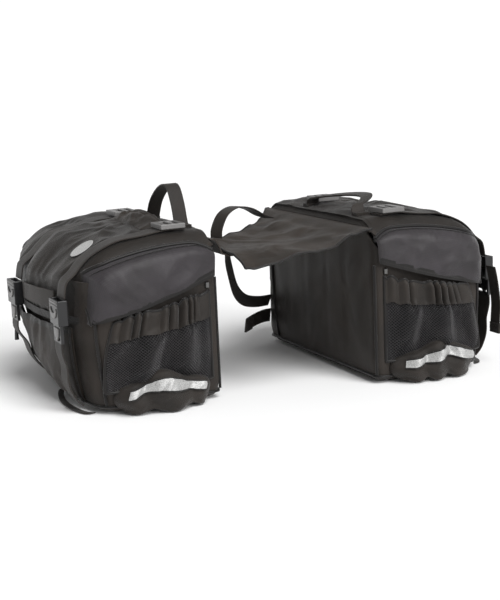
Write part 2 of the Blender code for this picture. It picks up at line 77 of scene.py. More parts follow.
# ------------------------------------------------------------------ sizes of one bag, in metres
DEPTH = 0.215  # from the back panel to the outer one, at the bag's ends
BULGE = 0.030  # how much further the outer panel's middle stands out
RIM = 0.212  # height of the tub's mouth
CORNER_INNER = 0.012  # radii of the tub's upright corners
CORNER_OUTER = 0.035
CROWN = 0.010  # rise of the lid's dome
OUTER_DROP = 0.028  # fall of the lid from its hinge to its outer edge
TUCK_TOP = 0.130  # the outer panel leans in below this height
TUCK_NEAR = 0.010
TUCK_FAR = 0.060
LID_BACK = 0.0035  # where the lid's cloth starts, out from the back panel
SKIRT_LOW = 0.145
EAR_INNER = 0.206  # heights of the ear's lower edge, at its two ends
EAR_OUTER = 0.149
END_CLEAR = 0.0025  # room between the tub and the lid
WEBBING = 0.038
TAPE = 0.002
HEM = 0.0008  # thickness of bindings and of the dark sheets of painted shade behind the nets
STRAP_V = (-0.150, 0.075)  # places of the near and far straps along the bag
# middle along the bag, half length, rise and fold in degrees of each handle
HANDLES = {"left": (-0.055, 0.060, 0.052, 0.0), "right": (-0.035, 0.077, 0.042, 74.0)}
ENDS = (("near", -1.0), ("far", 1.0))
BAGS = (("left", -1), ("right", 1))


def place(side, u, v, w):
    """World place of a bag's own u (outwards), v (along) and w (up)."""
    return Vector((side * (GAP / 2 + u), v - side * STAGGER / 2, w))


def mix(a, b, t):
    return a + (b - a) * t


def clamp(t, low=0.0, high=1.0):
    return max(low, min(high, t))


def ease(t):
    t = clamp(t)
    return t * t * (3 - 2 * t)


def hump(x, middle, width, power=2):
    """A smooth hump: 1 at its middle, fading within its width."""
    return math.exp(-((x - middle) / width) ** power)


def between(x, table):
    """Value at x on a smooth line through the table's x, value pairs."""
    for (x0, y0), (x1, y1) in zip(table, table[1:]):
        if x <= x1:
            return mix(y0, y1, ease((x - x0) / (x1 - x0)))
    return table[-1][1]


def swell(w):
    return between(w, ((0.0, 0.45), (0.030, 0.80), (0.080, 1.0), (0.145, 0.95), (RIM, 0.70)))


def tuck(v, w):
    """How far the outer panel leans in towards the foot."""
    amount = mix(TUCK_NEAR, TUCK_FAR, ease(v / LENGTH + 0.5))
    return amount * max(0.0, 1 - w / TUCK_TOP) ** 1.3


def outer(v, w):
    """Depth of the outer panel at a place along the bag and a height."""
    swollen = BULGE * swell(w) * math.cos(math.pi * clamp(v / LENGTH, -0.5, 0.5))
    return DEPTH + swollen - tuck(v, w)


def lid_height(u, v):
    """Height of the lid's lining: a low dome that falls away at the ends and the front."""
    dome = CROWN * math.sin(math.pi * clamp(u / 0.24)) ** 0.8
    fall_end = 0.036 * max(0.0, 1 - (HALF + END_CLEAR - abs(v)) / 0.050) ** 1.7
    fall_front = 0.034 * max(0.0, 1 - (outer(v, RIM) + END_CLEAR - u) / 0.060) ** 2
    slope = OUTER_DROP * clamp(u / DEPTH) ** 1.5
    return HINGE_Z + dome - slope - math.hypot(fall_end, fall_front)


def creases(point, size, amount, seed=0.0, lean=0.5):
    """Folds of thin cloth: sharp crests that run aslant, between broad hollows."""
    where = Vector(point) / size
    where = Vector((where.x + lean * where.z, where.y * 0.8, where.z * 0.45 + seed))
    where += 0.35 * noise.noise_vector(where * 0.9)
    broad = 1 - 2.2 * abs(noise.noise(where))
    fine = 1 - 2.2 * abs(noise.noise(where * 2.3 + Vector((seed, 5.0, 1.0))))
    return amount * (0.7 * broad + 0.3 * fine - 0.35)


def wave(point, size, amount, seed=0.0):
    """Smooth hollows and swells."""
    return amount * noise.noise(Vector(point) / size + Vector((seed, 0.0, seed)))


# ------------------------------------------------------------------ finishes
MOTTLE = {"Scale": 14.0, "Detail": 6.0, "Roughness": 0.65}
CRINKLES = {"Scale": 22.0, "Detail": 4.0, "Distortion": 0.6}
CRINKLE_DEPTH = 0.004
ROUGH_SPAN = 0.08
CLOTH_GLOSS, PLASTIC_GLOSS = 0.22, 0.45


def node(tree, kind, values=None, **settings):
    """A new shader node, with its settings and then the values of its inputs."""
    made = tree.nodes.new("ShaderNode" + kind)
    for name, value in settings.items():
        setattr(made, name, value)
    for name, value in (values or {}).items():
        made.inputs[name].default_value = value
    return made


def finish(name, colour, roughness, pattern, scale=1.0, depth=0.0002, sheen=0.0, metallic=0.0,
           vary=0.25, strength=0.6, warm=(1.08, 1.0, 0.94), crinkle=0.30):
    """A Principled finish: mottled colour, roughness that varies, and a bump pattern."""
    made = bpy.data.materials.new(name)
    made.use_nodes = True
    tree = made.node_tree
    link = tree.links.new
    shader = tree.nodes["Principled BSDF"]
    shader.inputs["Metallic"].default_value = metallic
    shader.inputs["Sheen Weight"].default_value = sheen
    shader.inputs["Sheen Roughness"].default_value = 0.40
    shader.inputs["Specular IOR Level"].default_value = CLOTH_GLOSS if sheen else PLASTIC_GLOSS

    where = node(tree, "TexCoord")
    clouds = node(tree, "TexNoise", MOTTLE)
    link(where.outputs["Object"], clouds.inputs["Vector"])
    ramp = node(tree, "ValToRGB")
    dark, light = ramp.color_ramp.elements
    dark.position, light.position = 0.32, 0.70
    dark.color = (*[c * (1 - vary) for c in colour], 1.0)
    light.color = (*[min(1.0, c * (1 + vary) * k) for c, k in zip(colour, warm)], 1.0)
    link(clouds.outputs["Fac"], ramp.inputs["Fac"])
    rough = node(tree, "MapRange", {"To Min": max(0.05, roughness - ROUGH_SPAN),
                                    "To Max": min(1.0, roughness + ROUGH_SPAN)})
    link(clouds.outputs["Fac"], rough.inputs["Value"])
    link(rough.outputs["Result"], shader.inputs["Roughness"])

    height = pattern(tree, where, scale)
    # the colour is multiplied by the pattern's height, 0.55 to 1.15: for the weave, ribs, stitches
    # and tape cells this is painted shade in the hollows and painted highlight on the crests, and
    # for grain it is tone that differs at random
    shade = node(tree, "Mix", data_type="RGBA", blend_type="MULTIPLY")
    relief_shade = node(tree, "MapRange", {"To Min": 0.55, "To Max": 1.15})
    link(height, relief_shade.inputs["Value"])
    shade.inputs["Factor"].default_value = 1.0
    link(ramp.outputs["Color"], shade.inputs["A"])
    link(relief_shade.outputs["Result"], shade.inputs["B"])
    link(shade.outputs["Result"], shader.inputs["Base Color"])

    bump = node(tree, "Bump", {"Strength": strength, "Distance": depth})
    link(height, bump.inputs["Height"])
    fine = node(tree, "Bump", {"Strength": crinkle, "Distance": CRINKLE_DEPTH})
    lines = node(tree, "TexNoise", CRINKLES, noise_type="RIDGED_MULTIFRACTAL")
    link(where.outputs["Object"], lines.inputs["Vector"])
    link(lines.outputs["Fac"], fine.inputs["Height"])
    link(fine.outputs["Normal"], bump.inputs["Normal"])
    link(bump.outputs["Normal"], shader.inputs["Normal"])
    return made


def math_node(tree, operation, *values):
    """The output of a maths node whose inputs are numbers or other outputs."""
    made = node(tree, "Math", operation=operation)
    for socket, value in zip(made.inputs, values):
        if isinstance(value, (int, float)):
            socket.default_value = value
        else:
            tree.links.new(value, socket)
    return made.outputs[0]


def blend_of(tree, first, share, second):
    """A share of the first pattern and the rest of the second."""
    return math_node(tree, "ADD", math_node(tree, "MULTIPLY", first, share),
                     math_node(tree, "MULTIPLY", second, round(1 - share, 3)))


def ridges(tree, source, per_metre):
    """A row of rounded ridges, from 0 to 1, across one coordinate."""
    turned = math_node(tree, "MULTIPLY", source, per_metre * 2 * math.pi)
    half = math_node(tree, "MULTIPLY", math_node(tree, "SINE", turned), 0.5)
    return math_node(tree, "ADD", half, 0.5)


def split(tree, vector):
    made = node(tree, "SeparateXYZ")
    tree.links.new(vector, made.inputs[0])
    return made.outputs


def plain_weave(tree, where, scale):
    """Over-and-under weave in the cloth's own UV map, which is in metres."""
    axes = split(tree, where.outputs["UV"])
    yarns, checks = (math_node(tree, "MULTIPLY", ridges(tree, axes[0], per_metre / scale),
                               ridges(tree, axes[1], per_metre / scale))
                     for per_metre in (900, 450))
    return blend_of(tree, yarns, 0.6, checks)


def ribbed(tree, where, scale):
    """Webbing: cross ribs with a finer row of warp threads."""
    axes = split(tree, where.outputs["UV"])
    ribs = ridges(tree, axes[1], 620 / scale)
    warp = ridges(tree, axes[0], 420 / scale)
    return blend_of(tree, ribs, 0.65, warp)


def stitched(tree, where, scale):
    """Binding tape with a row of stitches along its middle."""
    axes = split(tree, where.outputs["UV"])
    dash = math_node(tree, "GREATER_THAN", ridges(tree, axes[0], 260 / scale), 0.35)
    off_middle = math_node(tree, "ABSOLUTE", math_node(tree, "SUBTRACT", axes[1], 0.005))
    row = math_node(tree, "LESS_THAN", off_middle, 0.0007)
    thread = math_node(tree, "MULTIPLY", dash, row)
    rib = math_node(tree, "MULTIPLY", ridges(tree, axes[0], 1100 / scale), 0.4)
    return math_node(tree, "ADD", rib, thread)


def grain(tree, where, scale):
    """Fine moulded grain."""
    speck = node(tree, "TexNoise", {"Scale": 900 / scale, "Detail": 3.0})
    tree.links.new(where.outputs["Object"], speck.inputs["Vector"])
    return speck.outputs["Fac"]


def bead_cells(tree, where, scale):
    """Small sealed cells of reflective tape."""
    cell = node(tree, "TexVoronoi", {"Scale": 420 / scale}, feature="DISTANCE_TO_EDGE")
    tree.links.new(where.outputs["UV"], cell.inputs["Vector"])
    line = node(tree, "MapRange", {"From Max": 0.12})
    tree.links.new(cell.outputs["Distance"], line.inputs["Value"])
    return line.outputs["Result"]


NYLON = finish("pack_cloth", (0.0310, 0.0262, 0.0225), 0.56, plain_weave, 1.0, 0.00035, 0.10)
LID_CLOTH = finish("lid_cloth", (0.0200, 0.0172, 0.0150), 0.48, plain_weave, 1.0, 0.00035, 0.10)
EAR_CLOTH = finish("ear_cloth", (0.043, 0.0388, 0.0410), 0.42, plain_weave, 1.0, 0.00035, 0.12,
                   warm=(1.0, 0.98, 1.04))
YOKE_CLOTH = finish("yoke_cloth", (0.033, 0.0262, 0.0208), 0.56, plain_weave, 1.1, 0.0004, 0.10)
PATCH_CLOTH = finish("patch_cloth", (0.56, 0.56, 0.55), 0.55, plain_weave, 1.2, 0.0002, 0.1,
                     vary=0.08, warm=(1, 1, 1), crinkle=0.05)
BAND_CLOTH = finish("band_cloth", (0.0275, 0.0240, 0.0212), 0.58, plain_weave, 1.0, 0.0003, 0.10)
TAPE_FINISH = finish("webbing_tape", (0.0240, 0.0210, 0.0188), 0.56, ribbed, 1.0, 0.0005, 0.10)
BINDING = finish("edge_binding", (0.013, 0.0125, 0.0125), 0.55, stitched, 1.0, 0.0004, 0.2)
PIPING = finish("piping_cord", (0.010, 0.0095, 0.0095), 0.45, grain, 1.0, 0.0002, 0.2, crinkle=0.0)
# near-black finish of the sheet that paints shade inside the net pockets
NET_SHADE = finish("net_painted_shade", (0.0085, 0.0082, 0.0090), 0.60, plain_weave, 1.0, 0.0003, 0.2)
NET = finish("net_thread", (0.030, 0.029, 0.032), 0.45, grain, 0.6, 0.0001, 0.3, crinkle=0.0)
SILVER = finish("silver_tape", (0.36, 0.36, 0.355), 0.42, bead_cells, 1.0, 0.0002, 0.0, 0.15,
                vary=0.10, strength=0.3, warm=(1, 1, 1))
BLACK_PLASTIC = finish("black_plastic", (0.012, 0.012, 0.013), 0.30, grain, 1.0, 0.00012,
                       vary=0.12, strength=0.35, warm=(1, 1, 1), crinkle=0.0)
GREY_PLASTIC = finish("grey_plastic", (0.165, 0.160, 0.157), 0.36, grain, 1.0, 0.00012,
                      vary=0.08, strength=0.35, warm=(1, 1, 1), crinkle=0.0)
METAL = finish("zip_metal", (0.16, 0.158, 0.155), 0.38, grain, 0.7, 0.0001, metallic=1.0,
               vary=0.08, strength=0.3, warm=(1, 1, 1), crinkle=0.0)
CORD_FINISH = finish("cord_braid", (0.020, 0.020, 0.020), 0.60, grain, 0.8, 0.0003, 0.2,
                     crinkle=0.0)


# ------------------------------------------------------------------ tools
def fresh():
    bpy.ops.object.select_all(action="DESELECT")


def pick(piece):
    """Make one object the only selected and the active one."""
    fresh()
    bpy.context.view_layer.objects.active = piece
    piece.select_set(True)


@contextmanager
def edit_mode(whole=True):
    """Edit mode on the active mesh, with all of it selected unless whole is False."""
    bpy.ops.object.mode_set(mode="EDIT")
    if whole:
        bpy.ops.mesh.select_all(action="SELECT")
    yield
    bpy.ops.object.mode_set(mode="OBJECT")


def named(name):
    """The object that has just been made, with its name and its mesh's."""
    piece = bpy.context.object
    piece.name = name
    piece.data.name = name
    return piece


def apply_all(piece):
    pick(piece)
    for modifier in list(piece.modifiers):
        bpy.ops.object.modifier_apply(modifier=modifier.name)


def face_away(piece, inside):
    """Turn a skin so that its faces look away from a point inside the bag."""
    outwards = sum(face.normal.dot(face.center - inside) * face.area
                   for face in piece.data.polygons)
    if outwards < 0:
        piece.data.flip_normals()


def bevel(piece, width, segments):
    edge = piece.modifiers.new("edge", "BEVEL")
    edge.width = width
    edge.segments = segments
    return edge


def wall(piece, thickness, offset=-1.0, rounded=0.0):
    solid = piece.modifiers.new("wall", "SOLIDIFY")
    solid.thickness = thickness
    solid.offset = offset
    solid.use_even_offset = False
    if rounded:
        edge = bevel(piece, rounded, 2)
        edge.limit_method = "ANGLE"
        edge.angle_limit = math.radians(50)
    apply_all(piece)


def smooth(piece, angle=50):
    pick(piece)
    bpy.ops.object.shade_smooth_by_angle(angle=math.radians(angle))


def grid(name, across, along, where, size):
    """A grid primitive whose points are laid where(s, t) says, its UV map in metres."""
    fresh()
    bpy.ops.mesh.primitive_grid_add(x_subdivisions=across, y_subdivisions=along, size=2.0)
    piece = named(name)
    for loop in piece.data.uv_layers[0].data:
        loop.uv = (loop.uv[0] * size[0], loop.uv[1] * size[1])
    for vert in piece.data.vertices:
        vert.co = where((vert.co.x + 1) / 2, (vert.co.y + 1) / 2)
    return piece


def skin(name, across, along, where, size, inside, material, thickness=0.0, offset=1.0,
         closed=False):
    """A cloth panel with its wall. closed sews the grid's meeting edges together."""
    piece = grid(name, across, along, where, size)
    if closed:
        with edit_mode():
            bpy.ops.mesh.remove_doubles(threshold=0.00002)
    piece.data.update()
    face_away(piece, inside)
    piece.data.materials.append(material)
    if thickness:
        wall(piece, thickness, offset)
    smooth(piece)
    return piece


def smooth_path(points, steps):
    """Points of a Catmull-Rom curve through the given ones."""
    knots = [Vector(p) for p in points]
    knots = [2 * knots[0] - knots[1]] + knots + [2 * knots[-1] - knots[-2]]
    out = []
    for a, b, c, d in zip(knots, knots[1:], knots[2:], knots[3:]):
        for step in range(steps):
            t = step / steps
            out.append(0.5 * (2 * b + (c - a) * t + (2 * a - 5 * b + 4 * c - d) * t * t
                              + (3 * b - a - 3 * c + d) * t ** 3))
    return out + [knots[-2]]


def along_path(points):
    """A function from 0..1 to a point on the path, by its length."""
    lengths = [0.0]
    for a, b in zip(points, points[1:]):
        lengths.append(lengths[-1] + (b - a).length)
    total = lengths[-1]

    def at(t):
        want = clamp(t) * total
        for i in range(1, len(lengths)):
            if want <= lengths[i] + 1e-12:
                span = lengths[i] - lengths[i - 1]
                return points[i - 1].lerp(points[i], (want - lengths[i - 1]) / max(span, 1e-9))
        return points[-1]

    return at, total


def strap(name, knots, width, across, up, material=TAPE_FINISH, thickness=TAPE, steps=5):
    """Webbing along a smooth path. across is the width's direction and up its outer side."""
    at, total = along_path(smooth_path(knots, steps))
    across = Vector(across).normalized()
    piece = grid(name, 6, max(6, int(total / 0.006)),
                 lambda s, t: at(t) + across * (s - 0.5) * width, (width, total))
    piece.data.update()
    middle = piece.data.polygons[len(piece.data.polygons) // 2]
    if middle.normal.dot(Vector(up)) < 0:
        piece.data.flip_normals()
    piece.data.materials.append(material)
    wall(piece, thickness, 1.0, rounded=0.0005)
    smooth(piece, 40)
    return piece


def pipe(name, points, radius, material=PIPING):
    """A sewn-in cord along a line of points, made a mesh."""
    curve = bpy.data.curves.new(name, "CURVE")
    curve.dimensions = "3D"
    curve.bevel_depth = radius
    curve.bevel_resolution = 3
    curve.use_fill_caps = True
    spline = curve.splines.new("POLY")
    spline.points.add(len(points) - 1)
    for point, where in zip(spline.points, points):
        point.co = (where.x, where.y, where.z, 1.0)
    thing = bpy.data.objects.new(name, curve)
    bpy.context.scene.collection.objects.link(thing)
    pick(thing)
    bpy.ops.object.convert(target="MESH")
    piece = bpy.context.object
    with edit_mode():
        bpy.ops.mesh.remove_doubles(threshold=0.00005)
        bpy.ops.mesh.normals_make_consistent(inside=False)
    piece.data.materials.clear()
    piece.data.materials.append(material)
    smooth(piece, 60)
    return piece


def join(name, pieces):
    fresh()
    for piece in pieces:
        piece.select_set(True)
    bpy.context.view_layer.objects.active = pieces[0]
    bpy.ops.object.join()
    pieces[0].name = name
    pieces[0].data.name = name
    return pieces[0]


def centre(side):
    return place(side, DEPTH / 2, 0.0, 0.12)


# ------------------------------------------------------------------ the tub
def outline(w):
    """The tub from above at a height: u, v points round it from the inner near corner."""
    points = []

    def arc(cu, cv, radius, start, count):
        for i in range(count):
            angle = math.radians(mix(start, start + 90, i / (count - 1)))
            points.append(Vector((cu + radius * math.cos(angle), cv + radius * math.sin(angle), 0)))

    near, far = -HALF + CORNER_OUTER, HALF - CORNER_OUTER
    arc(CORNER_INNER, -HALF + CORNER_INNER, CORNER_INNER, 180, 7)
    arc(DEPTH - CORNER_OUTER, near, CORNER_OUTER, 270, 9)
    for i in range(1, 24):
        points.append(Vector((DEPTH, mix(near, far, i / 24), 0)))
    arc(DEPTH - CORNER_OUTER, far, CORNER_OUTER, 0, 9)
    arc(CORNER_INNER, HALF - CORNER_INNER, CORNER_INNER, 90, 7)
    points.append(points[0].copy())
    for point in points:
        reach = max(0.0, (point.x - 0.5 * DEPTH) / (0.5 * DEPTH))
        point.x += (outer(point.y, w) - DEPTH) * reach
    return points


@lru_cache(maxsize=None)
def ring(w):
    """A function from 0..1 to a point of the tub's outline at a height."""
    return along_path(outline(w))[0]


def rim_height(u, v):
    under_lid = min(0.264, lid_height(0.0, v) - 0.005)
    return mix(under_lid, min(RIM, under_lid), clamp((u - 0.004) / 0.020))


# share of the skin, height and inset of its rows, from the base to the mouth
PANEL_START, PANEL_FOOT = 0.34, 0.030
TUB_LEVELS = ((0.0, 0.0, 0.070), (0.10, 0.0006, 0.019), (0.16, 0.004, 0.008), (0.24, 0.012, 0.002),
              (PANEL_START, PANEL_FOOT, 0.0), (1.0, RIM, 0.0))
BACK_CREASES = (-0.105, -0.035, 0.045, 0.115)


def tub(label, side):
    """Tub of padded cloth: base, end gussets, outer and back panels in one skin."""
    def where(s, t):
        for (t0, w0, i0), (t1, w1, i1) in zip(TUB_LEVELS, TUB_LEVELS[1:]):
            if t <= t1 + 1e-9:
                k = (t - t0) / (t1 - t0)
                w, inset = mix(w0, w1, k), mix(i0, i1, k)
                break
        point = ring(w)(s)
        u, v = point.x, point.y
        if t > PANEL_START:
            w = mix(PANEL_FOOT, rim_height(u, v), (t - PANEL_START) / (1 - PANEL_START))
        u += inset * (DEPTH / 2 - u) / (DEPTH / 2)
        v *= 1 - 2 * inset / LENGTH
        upper = ease((w - 0.012) / 0.05) * (1 - ease((w - 0.20) / 0.06))
        on_back = u < 0.004
        push = wave((u, v, w), 0.07, 0.0035, side * 3.0)
        push += creases((u, v, w), 0.055, 0.0042, side * 2.0)
        if on_back:
            push = 0.5 * push - 0.0011 * sum(hump(v, at, 0.006) for at in BACK_CREASES)
            return place(side, u - min(0.0015, push) * upper, v, w)
        if abs(v) > HALF - 0.004:
            by_zip = ease((u - 0.045) / 0.03) if v < 0 else 1.0
            return place(side, u, v + math.copysign(0.6 * push * upper * by_zip - 0.001, v), w)
        return place(side, u + (push * 0.8 - 0.001) * upper * ease((u - 0.1) / 0.08), v, w)

    piece = skin(f"{label}_tub", 132, 44, where, (1.24, 0.34), centre(side), NYLON, closed=True)
    pick(piece)
    with edit_mode(whole=False):
        bpy.ops.mesh.select_all(action="DESELECT")
    low = min(v.co.z for v in piece.data.vertices)
    count = {}
    for face in piece.data.polygons:
        for key in face.edge_keys:
            count[key] = count.get(key, 0) + 1
    for edge in piece.data.edges:
        if count.get(edge.key) == 1:
            a, b = (piece.data.vertices[i].co.z for i in edge.vertices)
            edge.select = max(a, b) < low + 0.005
    with edit_mode(whole=False):
        bpy.ops.mesh.select_mode(type="EDGE")
        bpy.ops.mesh.fill()
        bpy.ops.mesh.select_all(action="SELECT")
        bpy.ops.mesh.normals_make_consistent(inside=False)
    face_away(piece, centre(side))
    wall(piece, 0.003, -1.0)
    smooth(piece)
    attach(piece, f"{label}_bag")
    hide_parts(f"{label}_bag_shell")


def tub_seams(label, side):
    """Piping up the four corners and round the foot."""
    def on(w, s, lift):
        point = ring(w)(s)
        away = Vector((point.x - DEPTH / 2, point.y * 0.55, 0)).normalized()
        return place(side, point.x + away.x * lift, point.y + away.y * lift, w)

    pieces = []
    heights = [0.016 + 0.184 * i / 16 for i in range(17)]
    for n, s in enumerate((0.006, 0.174, 0.530, 0.695)):
        pieces.append(pipe(f"{label}_corner_piping_{n}", [on(w, s, 0.0012) for w in heights],
                           0.0024))
    foot = [on(0.012, i / 120, -0.001) for i in range(121)]
    pieces.append(pipe(f"{label}_foot_piping", foot, 0.0022))
    piece = join(f"{label}_tub_piping", pieces)
    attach(piece, f"{label}_bag")


# ------------------------------------------------------------------ the lid
SEAM_INSET = 0.017
PATCH_AT = (0.1875, -0.1060)
CORNER = 0.0375
SEAM_TURN = math.radians(58)
TOP_SHARE = 0.70
SHOULDER = 0.30
STRAIGHT = (DEPTH - CORNER) / DEPTH


def seam_place(frac):
    """Plan of the seam round the lid's top: along the end and part of the way round the corner."""
    end = HALF + END_CLEAR - SEAM_INSET * math.sin(math.pi * min(0.5, 0.12 + frac * 2))
    if frac <= STRAIGHT:
        return mix(LID_BACK, DEPTH - CORNER, frac / STRAIGHT), end
    angle = SEAM_TURN * (frac - STRAIGHT) / (1 - STRAIGHT)
    return (DEPTH + END_CLEAR - CORNER + CORNER * math.sin(angle),
            end - CORNER + CORNER * math.cos(angle))


def panel_base(a, t):
    """Place, as u, v, w and tilt, of the lid's top panel: a runs -1 to 1 along, t back to front."""
    rim = abs(a) ** 5
    if t <= TOP_SHARE:
        frac = t / TOP_SHARE
        edge_u, edge_v = seam_place(frac)
        v = a * edge_v
        u = mix(mix(LID_BACK, outer(v, RIM) + END_CLEAR, frac), edge_u, rim)
        tilt = ease((frac - 0.80) / 0.20) * 0.9
        return u, v, lid_height(u, v), tilt
    edge_u, edge_v = seam_place(1.0)
    v = a * edge_v
    high = lid_height(mix(outer(v, RIM) + END_CLEAR, edge_u, rim), v)
    low = SKIRT_LOW + max(0.0, abs(v) - 0.17) * 0.12
    w = mix(high, low, (t - TOP_SHARE) / (1 - TOP_SHARE))
    u = mix(outer(v, clamp(w, SKIRT_LOW, RIM)) + END_CLEAR, edge_u, rim)
    return u, v, w, math.pi / 2


def lid_panel(label, side):
    """Top and front of the lid in one cloth, puffed and creased between its straps."""
    def where(s, t):
        a = 2 * s - 1
        u, v, w, tilt = panel_base(a, t)
        inner = math.sin(math.pi * s) ** 0.4 * math.sin(math.pi * min(1.0, t * 1.04 + 0.02)) ** 0.4
        press = sum(hump(v, at, 0.023, 4) for at in STRAP_V)
        if side < 0:
            near_patch = math.hypot(u - PATCH_AT[0], v - PATCH_AT[1])
            press = max(press, hump(near_patch, 0.0, 0.027, 4))
        puff = 0.0045 + wave((u, v, w), 0.055, 0.0060, side * 5.0)
        puff += creases((u, v, w), 0.060, 0.0065, side * 4.0, 0.8)
        pucker = 0.0016 * math.sin(v * 330 + 3 * math.sin(v * 60)) * hump(t, 0.97, 0.05)
        lift = 0.0015 + inner * max(-0.0020, puff * (1 - 0.9 * press)) + pucker
        return place(side, u + lift * math.sin(tilt), v, w + lift * math.cos(tilt))

    piece = skin(f"{label}_lid_panel", 130, 100, where, (0.415, 0.34), centre(side), LID_CLOTH,
                 0.002)
    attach(piece, f"{label}_lid_cover")
    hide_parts(f"{label}_lid")


def ear_point(side, sign, s, t, lift=0.0):
    """A point of a lid ear: s runs along the seam with the top panel and t down to its edge."""
    u_top, v_top, w_top, _ = panel_base(sign, s)
    low_u = mix(0.006, DEPTH + END_CLEAR - 0.006, s)
    low_w = mix(EAR_INNER, EAR_OUTER, s) - 0.004 * math.sin(math.pi * s)
    angle = 0.5 * math.pi * min(1.0, t / SHOULDER)
    down = 0.22 * (1 - math.cos(angle)) + 0.78 * max(0.0, (t - SHOULDER) / (1 - SHOULDER))
    u, w = mix(u_top, low_u, t), mix(w_top, low_w, down)
    round_in = max(0.0, u - (DEPTH + END_CLEAR - CORNER))
    v_low = HALF + END_CLEAR - CORNER + math.sqrt(max(0.0, CORNER ** 2 - round_in ** 2))
    v = mix(abs(v_top), v_low, math.sin(angle))
    body = math.sin(math.pi * min(1.0, s * 1.02)) ** 0.5
    fullness = body * math.sin(math.pi * min(1.0, 0.08 * ease(t / 0.10) + 0.74 * t)) ** 0.7
    puff = 0.0125 * fullness + wave((u, w, 0.3 * sign), 0.05, 0.006, side * 7 + sign) * fullness
    puff += creases((u * 0.7, w, sign), 0.050, 0.0050, side + sign, 1.2) * fullness
    pucker = 0.0014 * math.sin(s * 150 + 4 * math.sin(s * 21)) * math.exp(-t / 0.14) * body
    out = v + (0.0022 + lift) * math.sin(angle) + max(0.0, puff + pucker * ease(t / 0.05))
    return place(side, u, sign * min(out, HALF + 0.026), w + (0.0010 + lift) * math.cos(angle))


def corner_path(k, inward=0.0):
    """Line along the ear's top, round its outer corner and down to its edge, as s and t."""
    turn_s, turn_t = 0.15, 0.36
    last = 0.992 - inward * 0.35
    if k < 0.6:
        return mix(0.0, last - turn_s, k / 0.6), inward
    if k < 0.85:
        angle = 0.5 * math.pi * (k - 0.6) / 0.25
        return (last - turn_s * (1 - math.sin(angle)),
                inward + (turn_t - inward) * (1 - math.cos(angle)))
    return last, mix(turn_t, 1.0, (k - 0.85) / 0.15)


def lid_ears(label, side):
    piece = join(f"{label}_lid_ears", [
        skin(f"{label}_{end}_lid_ear", 110, 34, lambda s, t, sign=sign: ear_point(side, sign, s, t),
             (0.27, 0.07), centre(side), EAR_CLOTH, 0.0018) for end, sign in ENDS])
    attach(piece, f"{label}_lid_cover")


def lid_trim(label, side):
    """Piping where the ears meet the top panel, and a bound edge all round."""
    pieces = []
    edges = []
    for end, sign in ENDS:
        seam = [ear_point(side, sign, *corner_path(i / 110), 0.0034) for i in range(111)]
        pieces.append(pipe(f"{label}_{end}_seam", seam, 0.0033))
        inner = [ear_point(side, sign, i / 90, 0.0, -0.0010) for i in range(91)]
        pieces.append(pipe(f"{label}_{end}_seam_fold", inner, 0.0028))
        ridge = [ear_point(side, sign, *corner_path(i / 110, 0.09), 0.0030) for i in range(111)]
        pieces.append(pipe(f"{label}_{end}_seam_row", ridge, 0.0008))

        def hem(s, t, sign=sign):
            high = ear_point(side, sign, s, 1.0, 0.0021)
            return high + Vector((0, 0, mix(0.0085, -0.0022, t)))

        edges.append(skin(f"{label}_{end}_hem", 60, 4, hem, (0.26, 0.010), centre(side), BINDING,
                          HEM))

    def front_hem(s, t):
        u, v, w, _ = panel_base(2 * s - 1, 1.0)
        w += mix(0.0095, -0.0022, t)
        return place(side, u + 0.0050 + wave((v, 0, 0), 0.06, 0.002, side), v, w)

    edges.append(skin(f"{label}_front_hem", 90, 4, front_hem, (0.41, 0.010), centre(side), BINDING,
                      HEM))
    trim = join(f"{label}_lid_piping", pieces)
    bound = join(f"{label}_lid_binding", edges)
    for piece in (trim, bound):
        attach(piece, f"{label}_lid_cover")


# ------------------------------------------------------------------ pockets on the outer panel
def pocket_reach(w):
    return between(w, ((0.014, 0.003), (0.024, 0.010), (0.040, 0.0155), (0.056, 0.0150),
                       (0.074, 0.0115), (0.095, 0.0100), (0.136, 0.0085)))


def outer_pocket(label, side):
    """Wide pocket with a round belly, pleated at its lower corners."""
    half = 0.150

    def where(s, t, lift=0.0):
        v = mix(-half, half, s)
        w = mix(0.0135, 0.136, t)
        edge = 1 - abs(2 * s - 1) ** 6
        fold = wave((v, w, 0.0), 0.05, 0.0050, side * 9) + creases((v, 0.0, w), 0.05, 0.0045, side)
        pleat = 0.004 * math.sin(v * 210) * hump(w, 0.035, 0.02) * abs(2 * s - 1) ** 3
        stand = 0.0010 + lift + (pocket_reach(w) + 0.0006 + fold + pleat) * edge
        return place(side, outer(v, w) + max(0.0010, stand), v, w)

    front = skin(f"{label}_map_pocket", 90, 44, where, (0.31, 0.135), centre(side), NYLON, 0.0014)
    hem = skin(f"{label}_map_pocket_hem", 90, 4,
               lambda s, t: where(s, mix(0.93, 1.012, t), 0.0016), (0.30, 0.010), centre(side),
               BINDING, HEM)
    seams = [pipe(f"{label}_map_pocket_seam", [where(s, i / 24, 0.0016) for i in range(25)], 0.0019)
             for s in (0.012, 0.988)]
    seams.append(pipe(f"{label}_map_pocket_foot", [where(i / 60, 0.01, 0.001) for i in range(61)],
                      0.0019))
    trim = join(f"{label}_map_pocket_piping", seams)
    for piece in (front, hem, trim):
        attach(piece, f"{label}_bag")
    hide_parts(f"{label}_outer_pocket")


